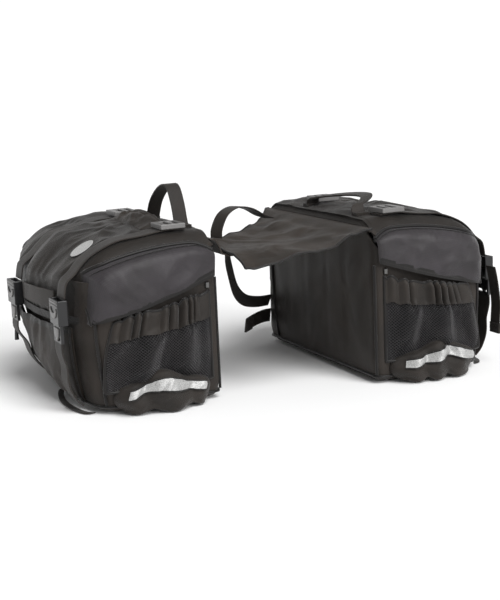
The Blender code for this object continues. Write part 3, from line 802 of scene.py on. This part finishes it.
# ------------------------------------------------------------------ net pockets on the ends
def net_point(side, sign, s, t, lift=0.0, seed=0.0):
    """A point of an end pocket: gathered at its mouth, in long folds below."""
    u = mix(0.016, mix(0.199, 0.178, t * t), s)
    w = mix(0.038, mix(0.181, 0.150, s), t)
    low = math.sin(math.pi * s) ** 0.6
    belly = low * (0.3 + 0.7 * math.sin(math.pi * min(0.85, 0.1 + t)))
    turn = 9.5 * s + 0.35 * math.sin(9 * s + seed) + 0.20 * math.sin(23 * s + 2 * seed)
    gather = (0.5 + 0.5 * math.cos(2 * math.pi * turn)) ** 0.6
    gather *= 0.8 + 0.4 * math.sin(13 * s + seed)
    lean = 0.5 + (s - 0.5) * (0.62 + 0.38 * t)
    broad = 0.5 + 0.5 * math.cos(2 * math.pi * (3.4 * lean + 0.15 * math.sin(4 * t + seed)))
    tight = ease((t - 0.55) / 0.25)
    loose = 0.024 * broad ** 1.6 * ease(t / 0.30) * (1 - 0.25 * t)
    fold = mix(loose, 0.0120 * gather, tight) * low
    fold *= 1 - 0.60 * ease((t - 0.93) / 0.07)
    v = HALF + 0.0008 + 0.019 * belly + fold + wave((u, w, seed), 0.04, 0.004, sign) * low + lift
    w += (0.0060 * (gather - 0.5) + wave((s, 0.0, seed), 0.21, 0.006, 2.0) * low) * tight
    return place(side, u, sign * v, w)


def net_pocket(label, side, end, sign):
    """Diamond net with bound borders, under a gathered band."""
    seed = side * 1.3 + sign
    fresh()
    bpy.ops.mesh.primitive_grid_add(x_subdivisions=38, y_subdivisions=22, size=2.0)
    net = named(f"{label}_{end}_net")
    with edit_mode():
        bpy.ops.mesh.poke()
        bpy.ops.mesh.select_all(action="DESELECT")
    mesh = net.data
    for edge in mesh.edges:
        a, b = (mesh.vertices[i].co for i in edge.vertices)
        straight = abs(a.x - b.x) < 1e-5 or abs(a.y - b.y) < 1e-5
        inside = max(abs(a.x + b.x), abs(a.y + b.y)) < 1.999
        edge.select = straight and inside
    with edit_mode(whole=False):
        bpy.ops.mesh.select_mode(type="EDGE")
        bpy.ops.mesh.dissolve_edges(use_verts=False)
    for vert in mesh.vertices:
        vert.co = net_point(side, sign, (vert.co.x + 1) / 2, 0.78 * (vert.co.y + 1) / 2, 0.0, seed)
    mesh.update()
    mesh.materials.append(NET)
    face_away(net, centre(side))
    strands = net.modifiers.new("strands", "WIREFRAME")
    strands.thickness = 0.00130
    strands.use_even_offset = False
    strands.use_boundary = True
    apply_all(net)
    smooth(net, 60)
    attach(net, f"{label}_bag")
    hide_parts(f"{label}_{end}_mesh_pocket")

    # painted shade: a near-black sheet behind the net follows the net's folds at part of their
    # stand-off, so the pocket reads dark inside
    def lining(s, t):
        point = net_point(side, sign, s, t * 0.80, 0.0, seed)
        middle = place(side, 0.0, sign * HALF, 0.0).y
        point.y = middle + sign * 0.0010 + 0.62 * (point.y - middle)
        return point

    painted_shade_piece = skin(f"{label}_{end}_net_painted_shade", 90, 50, lining, (0.2, 0.13), centre(side), NET_SHADE,
                   HEM)
    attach(painted_shade_piece, f"{label}_bag")

    band = skin(f"{label}_{end}_gathered_band", 150, 14,
                lambda s, t: net_point(side, sign, s, mix(0.70, 1.0, t), 0.0012, seed),
                (0.26, 0.034), centre(side), BAND_CLOTH, 0.0012)
    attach(band, f"{label}_bag")
    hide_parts(f"{label}_{end}_pocket_elastic")

    def top(s, drop):
        return net_point(side, sign, s, 1.0, 0.0016, seed) + Vector((0, 0, drop))

    rim = [pipe(f"{label}_{end}_mouth_cord", [top(i / 140, -0.0004) for i in range(141)], 0.0022),
           pipe(f"{label}_{end}_mouth_seam", [top(i / 140, -0.0075) for i in range(141)], 0.0009)]
    for s in (0.0, 1.0):
        upright = [net_point(side, sign, s, i / 30, 0.0012, seed) for i in range(31)]
        rim.append(pipe(f"{label}_{end}_side_cord", upright, 0.0026))
    foot = [net_point(side, sign, i / 40, 0.0, 0.0012, seed) for i in range(41)]
    rim.append(pipe(f"{label}_{end}_foot_cord", foot, 0.0024))
    cords = join(f"{label}_{end}_pocket_cords", rim)
    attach(cords, f"{label}_bag")


# ------------------------------------------------------------------ rain pouches
def pouch_point(side, sign, x, y, z, seed):
    """A point of the soft pouch at the foot of an end, x across, y outwards and z up, -1 to 1."""
    out = 0.5 + 0.5 * y
    t = 0.5 + 0.5 * z
    low = math.cos(0.5 * math.pi * x) ** 0.40 if abs(x) < 1 else 0.0
    spread = mix(0.070, 0.082, math.sin(math.pi * min(1.0, 1.15 - t)))
    u = 0.104 + spread * x + 0.004 * math.sin(9 * t + seed) * low
    phase = 1.45 * x + 0.20 * math.sin(2.6 * x + seed) + 0.10 * (1 - t)
    fold = (0.5 + 0.5 * math.cos(2 * math.pi * phase)) ** 0.7
    peak = hump(x, 0.12, 0.42)
    front = 0.012 + 0.022 * math.sin(math.pi * (0.10 + 0.50 * (1 - t)))
    front += 0.0150 * fold * (0.35 + 0.65 * math.sin(math.pi * min(1.0, 0.25 + 0.75 * (1 - t))))
    front += creases((u, 0.3 * sign, t * 0.06), 0.026, 0.0050, seed, 1.2)
    v = HALF + 0.0012 + max(0.004, front) * low * out
    foot = 0.0090 * (1 - fold) * low
    top = 0.050 + 0.016 * peak + 0.003 * fold * low
    w = mix(foot, top, t)
    return place(side, u, sign * min(v, HALF + 0.0560), max(0.0006, w - 0.010 * (1 - low) * t))


def rain_pouch(label, side, end, sign):
    """Pouch with folds, pinned under the net pocket and resting on the floor."""
    seed = 2.0 * side + sign
    fresh()
    bpy.ops.mesh.primitive_cube_add(size=2.0)
    pouch = named(f"{label}_{end}_pouch")
    with edit_mode():
        bpy.ops.mesh.subdivide(number_cuts=26)
    for vert in pouch.data.vertices:
        co = vert.co
        ball = co.normalized() * max(abs(c) for c in co)
        soft = co.lerp(ball * 1.15, 0.30)
        limit = [clamp(c, -1.0, 1.0) for c in soft]
        vert.co = pouch_point(side, sign, *limit, seed)
    pouch.data.update()
    pick(pouch)
    with edit_mode():
        bpy.ops.mesh.normals_make_consistent(inside=False)
    even = pouch.modifiers.new("even", "SMOOTH")
    even.factor = 0.5
    even.iterations = 2
    apply_all(pouch)
    pouch.data.materials.append(BAND_CLOTH)
    smooth(pouch, 80)
    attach(pouch, f"{label}_bag")
    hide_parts(f"{label}_{end}_rain_pouch")

    def face(s, t, lift):
        x = mix(-0.80, 0.80, s)
        point = pouch_point(side, sign, x, 1.0, mix(0.16, 0.66, t), seed)
        return point + Vector((0, sign * lift, 0.0))

    strip = skin(f"{label}_{end}_silver_strip", 70, 6, lambda s, t: face(s, t, 0.0024),
                 (0.13, 0.016), centre(side), SILVER, 0.0005)
    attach(strip, f"{label}_bag")
    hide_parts(f"{label}_{end}_reflective_strip")
    border = join(f"{label}_{end}_strip_border", [
        pipe(f"{label}_{end}_strip_edge", [face(i / 60, t, 0.0028) for i in range(61)], 0.0011)
        for t in (-0.06, 1.06)])
    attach(border, f"{label}_bag")


# ------------------------------------------------------------------ straps
def over_lid(v, u):
    """Height at which webbing clears the lid."""
    return max(lid_height(u, v + d) for d in (-WEBBING / 2, WEBBING / 2)) + 0.0058


def hem_block(name, at, across, along, up, width):
    """The folded and sewn end of a strap: a flattened roll with a step."""
    fresh()
    bpy.ops.mesh.primitive_cube_add(size=1.0)
    end = named(name)
    with edit_mode():
        bpy.ops.mesh.subdivide(number_cuts=4)
    across, along, up = (Vector(a).normalized() for a in (across, along, up))
    for vert in end.data.vertices:
        x, y, z = vert.co
        dent = 0.0008 * math.cos(4 * math.pi * y)
        vert.co = (Vector(at) + across * x * (width + 0.0008) + along * y * 0.018
                   + up * z * (0.0056 + dent))
    if across.cross(along).dot(up) < 0:
        end.data.flip_normals()
    bevel(end, 0.0012, 2)
    apply_all(end)
    end.data.materials.append(TAPE_FINISH)
    smooth(end)
    return end


def lid_strap(label, side, end, v):
    """Webbing from the ladder lock, over the lid and down to the socket."""
    knots = []
    for u in (0.034, 0.070, 0.110, 0.150, 0.185, 0.206, 0.222):
        ripple = 0.0014 * math.sin(u * 95 + v * 40)
        knots.append(place(side, u, v + 0.001 * math.sin(u * 60), over_lid(v, u) + ripple))
    front = max(outer(v + d, RIM) for d in (-WEBBING / 2, WEBBING / 2)) + END_CLEAR + 0.0050
    for stand, w in ((0.001, 0.2125), (0.005, 0.202), (0.0075, 0.1865)):
        knots.append(place(side, front + stand, v, w))
    band = strap(f"{label}_{end}_top_webbing", knots, WEBBING, (0, 1, 0), (side, 0, 1), steps=6)
    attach(band, f"{label}_lid_cover")
    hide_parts(f"{label}_{end}_lid_strap")


def lower_strap(label, side, end, v):
    """Webbing from the prong, round the pocket's belly, to the foot."""
    knots = []
    for w in (0.0125, 0.022, 0.032, 0.044, 0.056, 0.066, 0.078):
        stand = max(outer(v + d, w) for d in (-WEBBING / 2, 0.0, WEBBING / 2))
        knots.append(place(side, stand + pocket_reach(w) + 0.0062, v, w))
    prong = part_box(f"{label}_{end}_buckle_prong")
    back = side * ((prong[0].x + prong[1].x) / 2) - GAP / 2
    knots += [place(side, back, v, w) for w in (0.100, 0.1195)]
    band = strap(f"{label}_{end}_side_webbing", knots, 0.036, (0, 1, 0), (side, 0, 0), steps=6)
    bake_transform(band)
    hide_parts(f"{label}_{end}_lower_strap")


def carry_handle(label, side):
    """Webbing handle, sewn down on both feet."""
    middle, half, rise, fold = HANDLES[label]
    foot = lid_height(0.022, 0.0) + 0.016
    shape = ((-1.0, 0.0), (-0.88, 0.42), (-0.61, 0.92), (-0.25, 1.0), (0.28, 0.77), (0.76, 0.38),
             (1.0, 0.0))
    turn = math.radians(fold)
    knots = [place(side, 0.022 + rise * up * math.sin(turn), middle + half * along,
                   foot + 0.001 + rise * up * math.cos(turn)) for along, up in shape]
    ends = (middle - half - 0.006, middle + half + 0.006)  # where the webbing is sewn down
    knots.insert(0, place(side, 0.022, ends[0], foot - 0.0115))
    knots.append(place(side, 0.022, ends[1], foot - 0.0115))
    across = (side, 0, 0.12) if fold else (side, 0, 0)
    band = strap(f"{label}_handle_webbing", knots, 0.024, across, (0, 0, 1), thickness=0.003,
                 steps=6)
    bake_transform(band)
    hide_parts(f"{label}_carry_handle")
    feet = [hem_block(f"{label}_handle_foot", place(side, 0.022, v, foot - 0.0100), (side, 0, 0),
                      (0, 1, 0), (0, 0, 1), 0.024) for v in (ends[0] - 0.006, ends[1] + 0.006)]
    sewn = join(f"{label}_handle_feet", feet)
    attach(sewn, f"{label}_lid_cover")


def wrap_strap(label, side):
    """Thin strap that lies in a shallow curve beside the foot."""
    knots = []
    for i in range(11):
        angle = math.pi * i / 10
        v = -0.105 - 0.075 * math.cos(angle)
        u = outer(-0.12, 0.0) + 0.005 + 0.020 * math.sin(angle)
        knots.append(place(side, u, v, 0.0010 + 0.010 * ease((math.cos(angle) + 0.2) / -1.2)))
    band = strap(f"{label}_foot_webbing", knots, 0.010, (1, 0, 0), (0, 0, 1), steps=5)
    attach(band, f"{label}_bag")
    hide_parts(f"{label}_wrap_strap")


def loose_strap():
    """Wide webbing end at the right bag's near outer corner."""
    knots = [place(1, u, -0.1915 + 0.002 * math.sin(w * 60), w) for u, w in (
        (0.2350, 0.172), (0.2390, 0.160), (0.2450, 0.135), (0.2470, 0.105), (0.2440, 0.075),
        (0.2460, 0.056))]
    band = strap("right_corner_webbing", knots, 0.026, (0, 1, 0), (1, 0, 0), steps=6)
    end = hem_block("right_corner_hem", knots[-1] + Vector((0, 0, 0.007)), (0, 1, 0), (0, 0, 1),
                    (1, 0, 0), 0.026)
    whole = join("right_corner_webbing", [band, end])
    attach(whole, "right_lid_cover")
    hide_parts("right_loose_strap")


def moulded_plate(name, outline, side, back, thickness, material):
    """A moulded plate that faces outwards, from an outline of v, w points."""
    fresh()
    bpy.ops.mesh.primitive_circle_add(vertices=len(outline), radius=1.0, fill_type="NGON")
    plate = named(name)
    for vert, (v, w) in zip(plate.data.vertices, outline):
        vert.co = place(side, back, v, w)
    with edit_mode():
        bpy.ops.mesh.extrude_region_move(
            TRANSFORM_OT_translate={"value": (side * thickness, 0, 0)})
        bpy.ops.mesh.select_all(action="SELECT")
        bpy.ops.mesh.normals_make_consistent(inside=False)
    bevel(plate, 0.0010, 3)
    apply_all(plate)
    plate.data.materials.append(material)
    smooth(plate, 40)
    return plate


def buckle_faces(label, side, end, v):
    """Raised grey crescent on the socket, a painted highlight of its curved face, and the pointed
    tongue that shows under it.
    """
    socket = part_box(f"{label}_{end}_buckle_socket")
    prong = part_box(f"{label}_{end}_buckle_prong")
    face = max(abs(socket[0].x), abs(socket[1].x)) - GAP / 2
    crescent = []
    for start, stop, w, across, tall in ((200, 340, 0.1740, 0.0185, 0.0185),
                                         (335, 205, 0.1795, 0.0155, 0.0150)):
        for i in range(13):
            angle = math.radians(mix(start, stop, i / 12))
            crescent.append((v + across * math.cos(angle), w + tall * math.sin(angle)))
    # painted highlight: the crescent is grey plastic where the black socket's curved face would
    # catch the light
    bars = [moulded_plate(f"{label}_{end}_crescent", crescent, side, face - 0.0004, 0.0022,
                          GREY_PLASTIC)]
    for w in (0.1765, 0.1815):
        bars.append(moulded_plate(f"{label}_{end}_socket_bar", [
            (v - 0.0195, w - 0.0012), (v + 0.0195, w - 0.0012), (v + 0.0195, w + 0.0012),
            (v - 0.0195, w + 0.0012)], side, face - 0.0004, 0.0014, GREY_PLASTIC))
    trim = join(f"{label}_{end}_socket_trim", bars)
    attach(trim, f"{label}_lid_cover")
    front = max(abs(prong[0].x), abs(prong[1].x)) - GAP / 2
    tongue = moulded_plate(f"{label}_{end}_tongue", [
        (v - 0.0135, 0.1405), (v + 0.0135, 0.1405), (v + 0.0110, 0.1300), (v + 0.0030, 0.1185),
        (v - 0.0030, 0.1185), (v - 0.0110, 0.1300)], side, front - 0.0006, 0.0026, GREY_PLASTIC)
    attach(tongue, f"{label}_{end}_prong")


def small_fittings(label):
    """Finish of the CAD pieces that stay: locks, buckles, boards and the zip slider."""
    finishes = {"zip_slider": METAL, "back_board": BLACK_PLASTIC, "base_board": BLACK_PLASTIC}
    for end, _ in ENDS:
        finishes[f"{end}_strap_adjuster"] = GREY_PLASTIC
        finishes[f"{end}_buckle_socket"] = BLACK_PLASTIC
        finishes[f"{end}_buckle_prong"] = BLACK_PLASTIC
    for name, material in finishes.items():
        for held in bpy.data.objects[f"{label}_{name}"].material_slots:
            held.material = material


# ------------------------------------------------------------------ yoke
def long_flap_point(s, t, lift=0.0):
    """Long flap of the yoke, t from the right bag's back panel to its free end, s near to far."""
    reach = mix(0.0005, 0.218, t)
    drop = between(reach, ((0.0, 0.0), (0.008, 0.0006), (0.036, 0.012), (0.078, 0.021),
                           (0.120, 0.0245), (0.160, 0.0250), (0.198, 0.0245), (0.218, 0.0225)))
    k = max(0.0, (reach - 0.008) / 0.210)
    near = mix(-0.236, -0.212, k)
    far = mix(0.148, -0.050, k ** 0.8)
    loose = ease(reach / 0.05)
    v = mix(near, far, s)
    edge = (1 - s) ** 2
    fold = wave((reach, v, 0.0), 0.06, 0.006, 3.0) + creases((reach, v, 0.0), 0.07, 0.0048, 5.0)
    fold += 0.0022 * math.sin(reach * 55 + v * 30) * edge
    z = YOKE_Z - drop - 0.024 * k * k * (1 - s) ** 4 + loose * max(-0.0015, fold) + 0.0022 + lift
    return Vector((GAP / 2 - reach, v, z))


def short_flap_point(s, t):
    """Short flap of the yoke, t from the left bag's back panel to its free end."""
    reach = mix(0.0005, 0.080, t)
    drop = between(reach, ((0.0, 0.0), (0.008, 0.0006), (0.014, 0.010), (0.020, 0.026),
                           (0.034, 0.0300), (0.055, 0.0310), (0.080, 0.0315)))
    v = mix(-0.150, 0.190, s)
    fold = min(0.0010, wave((reach, v, 2.0), 0.05, 0.0016, 1.0))
    return Vector((-GAP / 2 + reach, v, YOKE_Z - drop + fold * ease(reach / 0.03)))


def hinge_gusset(label, side):
    """Soft strip that closes the back edge between the yoke and the lid."""
    def where(s, t):
        v = mix(-HALF + 0.006, HALF - 0.006, s)
        w = mix(YOKE_Z - 0.004, lid_height(0.010, v) + 0.0036, t)
        bow = 0.0012 * math.sin(math.pi * t) + wave((v, w, 0.0), 0.04, 0.0012, side)
        return place(side, mix(0.0010, 0.0105, t ** 1.4) - bow, v, w)

    strip = skin(f"{label}_hinge_gusset", 90, 8, where, (0.38, 0.02), centre(side), NYLON, 0.0010)
    where(0.5, 0.0)
    where(0.5, 1.0)
    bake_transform(strip)


def gap_webbing():
    """Straps between the bags: one from the long flap to the right bag, and a loose end."""
    knots = [(-0.026, 0.010, 0.2270), (-0.016, 0.036, 0.1950), (0.000, 0.062, 0.1620),
             (0.022, 0.092, 0.1220), (0.052, 0.122, 0.0960), (0.090, 0.147, 0.0840),
             (0.1225, 0.158, 0.0820)]
    hanging = strap("hanging_webbing", knots, 0.024, (0.25, -0.35, 1.0), (0, -1, 0.3), steps=6)
    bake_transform(hanging)
    knots = [(0.1228, 0.160, 0.0520), (0.104, 0.152, 0.0530), (0.080, 0.142, 0.0500),
             (0.058, 0.134, 0.0440)]
    end = strap("loose_webbing", knots, 0.026, (0.10, -0.10, 1.0), (0, -1, 0.2), steps=6)
    tip = hem_block("loose_webbing_hem", Vector(knots[-1]) + Vector((0.008, 0.0, 0.001)),
                    (0.10, -0.10, 1.0), (1.0, 0.35, 0.25), (0.3, -1, 0.1), 0.026)
    whole = join("loose_webbing", [end, tip])
    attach(whole, "right_bag")


def rumpled_apron():
    """Spare cloth of the yoke, lying in a rumpled heap beside the left handle."""
    def where(s, t):
        v = mix(-0.116, 0.044, s)
        u = mix(0.038, 0.092, t)
        body = math.sin(math.pi * s) ** 0.4 * math.sin(math.pi * t) ** 0.5
        heap = noise.ridged_multi_fractal(Vector((u * 22, v * 16, 3.0)), 0.9, 2.0, 3, 1.0, 2.0)
        rise = 0.0012 + body * (0.004 + 0.0105 * min(1.6, heap))
        return place(-1, u + 0.003 * math.sin(v * 80) * body, v, lid_height(u, v) + 0.0046 + rise)

    apron = skin("left_rumpled_cloth", 80, 34, where, (0.19, 0.08), centre(-1), NYLON, 0.0012)
    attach(apron, "left_lid_cover")


def front_tail():
    """Loose end of the near strap that bows along the left bag's front to a hemmed tip."""
    knots = []
    for v, bow in ((-0.112, 0.0075), (-0.085, 0.0100), (-0.055, 0.0120), (-0.020, 0.0120),
                   (0.012, 0.0105), (0.036, 0.0085)):
        w = 0.176 - 0.35 * (v + 0.03) ** 2 - 0.04 * v
        knots.append(place(-1, outer(v, 0.17) + END_CLEAR + bow, v, w))
    band = strap("left_front_webbing", knots, 0.028, (0.0, 0.0, 1.0), (-1, 0, 0), steps=6)
    tip = hem_block("left_front_hem", knots[-1] + Vector((0.0, -0.006, 0.0)), (0, 0, 1), (0, 1, 0),
                    (-1, 0, 0), 0.028)
    whole = join("left_front_webbing", [band, tip])
    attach(whole, "left_lid_cover")


def yoke():
    """The two overlapping flaps, the long one's rolled edge and the webbing loop on top."""
    below = Vector((0.0, 0.0, -1.0))
    long_flap = skin("right_yoke_cloth", 70, 50, long_flap_point, (0.30, 0.23), below, YOKE_CLOTH,
                     0.0016)
    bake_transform(long_flap)
    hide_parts("right_yoke_flap")
    short_flap = skin("left_yoke_cloth", 60, 24, short_flap_point, (0.34, 0.09), below, YOKE_CLOTH,
                      0.0016)
    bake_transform(short_flap)
    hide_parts("left_yoke_flap")
    near_edge, far_edge = ([long_flap_point(s, i / 60, 0.0008) for i in range(61)]
                           for s in (0.0, 1.0))
    free_end = [long_flap_point(i / 40, 1.0, 0.0008) for i in range(41)]
    edge = join("right_yoke_edge", [
        pipe(name, line, 0.0019) for name, line in (
            ("flap_edge", near_edge), ("flap_end", free_end), ("flap_far_edge", far_edge))])
    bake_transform(edge)
    knots = [(-0.062, -0.030, 0.2402), (-0.058, -0.024, 0.2560), (-0.040, -0.012, 0.2780),
             (-0.010, 0.006, 0.2860), (0.022, 0.020, 0.2790), (0.050, 0.032, 0.2640),
             (0.072, 0.040, 0.2562)]
    loop = strap("yoke_webbing", knots, 0.024, (-0.006, 0.010, 0.0), (0, 0, 1), steps=6)
    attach(loop, "right_yoke")
    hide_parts("yoke_strap")


# ------------------------------------------------------------------ patch and cord
def round_patch():
    """Plain round patch with a rolled rim, sewn on the lid's slope."""
    radius = 0.0215
    low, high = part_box("left_round_patch")
    middle = (low + high) / 2
    fresh()
    bpy.ops.mesh.primitive_circle_add(vertices=64, radius=1.0, fill_type="NGON")
    patch = named("left_plain_patch")
    with edit_mode():
        for inward in (0.04, 0.06, 0.10, 0.2, 0.3):
            bpy.ops.mesh.inset(thickness=inward, depth=0.0)
    middle.z = lid_height(*PATCH_AT) + 0.0032
    for vert in patch.data.vertices:
        rolled = 0.0009 * hump(math.hypot(vert.co.x, vert.co.y), 0.93, 0.05)
        vert.co = Vector((vert.co.x * radius, vert.co.y * radius, rolled))
    step = 0.004
    u = -middle.x - GAP / 2
    v = middle.y - STAGGER / 2
    slope_u = (lid_height(u + step, v) - lid_height(u - step, v)) / (2 * step)
    normal = Vector((slope_u, 0.0, 1.0)).normalized()
    turn = normal.to_track_quat("Z", "Y")
    for vert in patch.data.vertices:
        vert.co = middle + normal * 0.002 + turn @ vert.co
    patch.data.update()
    patch.data.materials.append(PATCH_CLOTH)
    wall(patch, 0.0008, -1.0)
    smooth(patch, 40)
    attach(patch, "left_lid_cover")
    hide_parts("left_round_patch")


def pull_cord():
    """Thin cord that hangs from the far buckle's corner to its end piece."""
    start = STRAP_V[1] + 0.0240
    top, low, u, v = 0.172, 0.091, 0.2520, 0.116
    route = [(u, start, top), (u, start + 0.007, top - 0.001), (u, v - 0.003, top - 0.009),
             (u, v, top - 0.025), (u, v, top - 0.053), (u, v, low)]
    points = smooth_path([place(-1, *point) for point in route], 5)
    length = sum((b - a).length for a, b in zip(points, points[1:]))
    cord = pipe("left_hanging_cord", points, 0.0015, CORD_FINISH)
    fresh()
    bpy.ops.mesh.primitive_cone_add(vertices=24, radius1=0.0040, radius2=0.0026, depth=0.020)
    tip = named("left_cord_tip")
    bevel(tip, 0.0009, 3)
    apply_all(tip)
    for vert in tip.data.vertices:
        vert.co += place(-1, u, v, low - 0.0099)
    tip.location = (0, 0, 0)
    tip.data.materials.append(BLACK_PLASTIC)
    smooth(tip, 40)
    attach(cord, "left_lid_cover")
    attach(tip, "left_lid_cover")
    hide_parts("left_pull_cord")
    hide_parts("left_cord_end")
    tuple(points[0])
    [tuple(point) for point in points]


for bag_name, bag_side in BAGS:
    tub(bag_name, bag_side)
    tub_seams(bag_name, bag_side)
    lid_panel(bag_name, bag_side)
    lid_ears(bag_name, bag_side)
    lid_trim(bag_name, bag_side)
    outer_pocket(bag_name, bag_side)
    for (end_name, end_sign), strap_v in zip(ENDS, STRAP_V):
        net_pocket(bag_name, bag_side, end_name, end_sign)
        rain_pouch(bag_name, bag_side, end_name, end_sign)
        lid_strap(bag_name, bag_side, end_name, strap_v)
        lower_strap(bag_name, bag_side, end_name, strap_v)
        buckle_faces(bag_name, bag_side, end_name, strap_v)
    carry_handle(bag_name, bag_side)
    wrap_strap(bag_name, bag_side)
    hinge_gusset(bag_name, bag_side)
    small_fittings(bag_name)
loose_strap()
gap_webbing()
rumpled_apron()
front_tail()
yoke()
round_patch()
pull_cord()


# ------------------------------------------------------------------ floor, light and camera
# angles in degrees, strength and the sun's spread in degrees
SUNS = (("key", (34, 0, 10), 2.5, 34), ("front", (66, 0, 16), 1.5, 26))
EYE_AT = (-0.901, -1.994, 0.544)
EYE_YAW, EYE_PITCH, EYE_ROLL = 24.53, 10.96, 2.56
LENS, SENSOR = 75.36, 36.0  # in millimetres


def studio():
    """Pale floor, a world that is brighter near the horizon, and two soft suns."""
    fresh()
    bpy.ops.mesh.primitive_plane_add(size=60.0, location=(0.0, 0.0, -0.0005))
    floor = bpy.context.object
    floor.name = "floor"
    paper = bpy.data.materials.new("floor_paper")
    paper.use_nodes = True
    shader = paper.node_tree.nodes["Principled BSDF"]
    shader.inputs["Base Color"].default_value = (0.9, 0.9, 0.9, 1)
    shader.inputs["Roughness"].default_value = 0.9
    floor.data.materials.append(paper)
    world = bpy.data.worlds.new("studio")
    world.use_nodes = True
    tree = world.node_tree
    height = split(tree, node(tree, "TexCoord").outputs["Generated"])[2]
    fade = node(tree, "MapRange", {"From Min": 0.10, "From Max": 0.32, "To Min": 1.05,
                                   "To Max": 0.34})
    background = tree.nodes["Background"]
    tree.links.new(height, fade.inputs["Value"])
    tree.links.new(fade.outputs["Result"], background.inputs["Strength"])
    background.inputs["Color"].default_value = (1.0, 1.0, 1.0, 1.0)
    scene = bpy.context.scene
    scene.world = world
    scene.view_settings.view_transform = "Standard"
    for name, angles, power, spread in SUNS:
        light = bpy.data.lights.new(name, "SUN")
        light.energy = power
        light.angle = math.radians(spread)
        lamp = bpy.data.objects.new(name, light)
        lamp.rotation_euler = [math.radians(a) for a in angles]
        scene.collection.objects.link(lamp)


def camera():
    lens = bpy.data.cameras.new("camera")
    lens.sensor_fit = "AUTO"
    lens.sensor_width = SENSOR
    lens.lens = LENS
    eye = bpy.data.objects.new("camera", lens)
    yaw, pitch, roll = (math.radians(a) for a in (EYE_YAW, EYE_PITCH, EYE_ROLL))
    turn = Matrix.Rotation(-yaw, 4, "Z") @ Matrix.Rotation(math.pi / 2 - pitch, 4, "X")
    eye.matrix_world = Matrix.Translation(EYE_AT) @ turn @ Matrix.Rotation(-roll, 4, "Z")
    bpy.context.scene.collection.objects.link(eye)
    bpy.context.scene.camera = eye


camera()
studio()
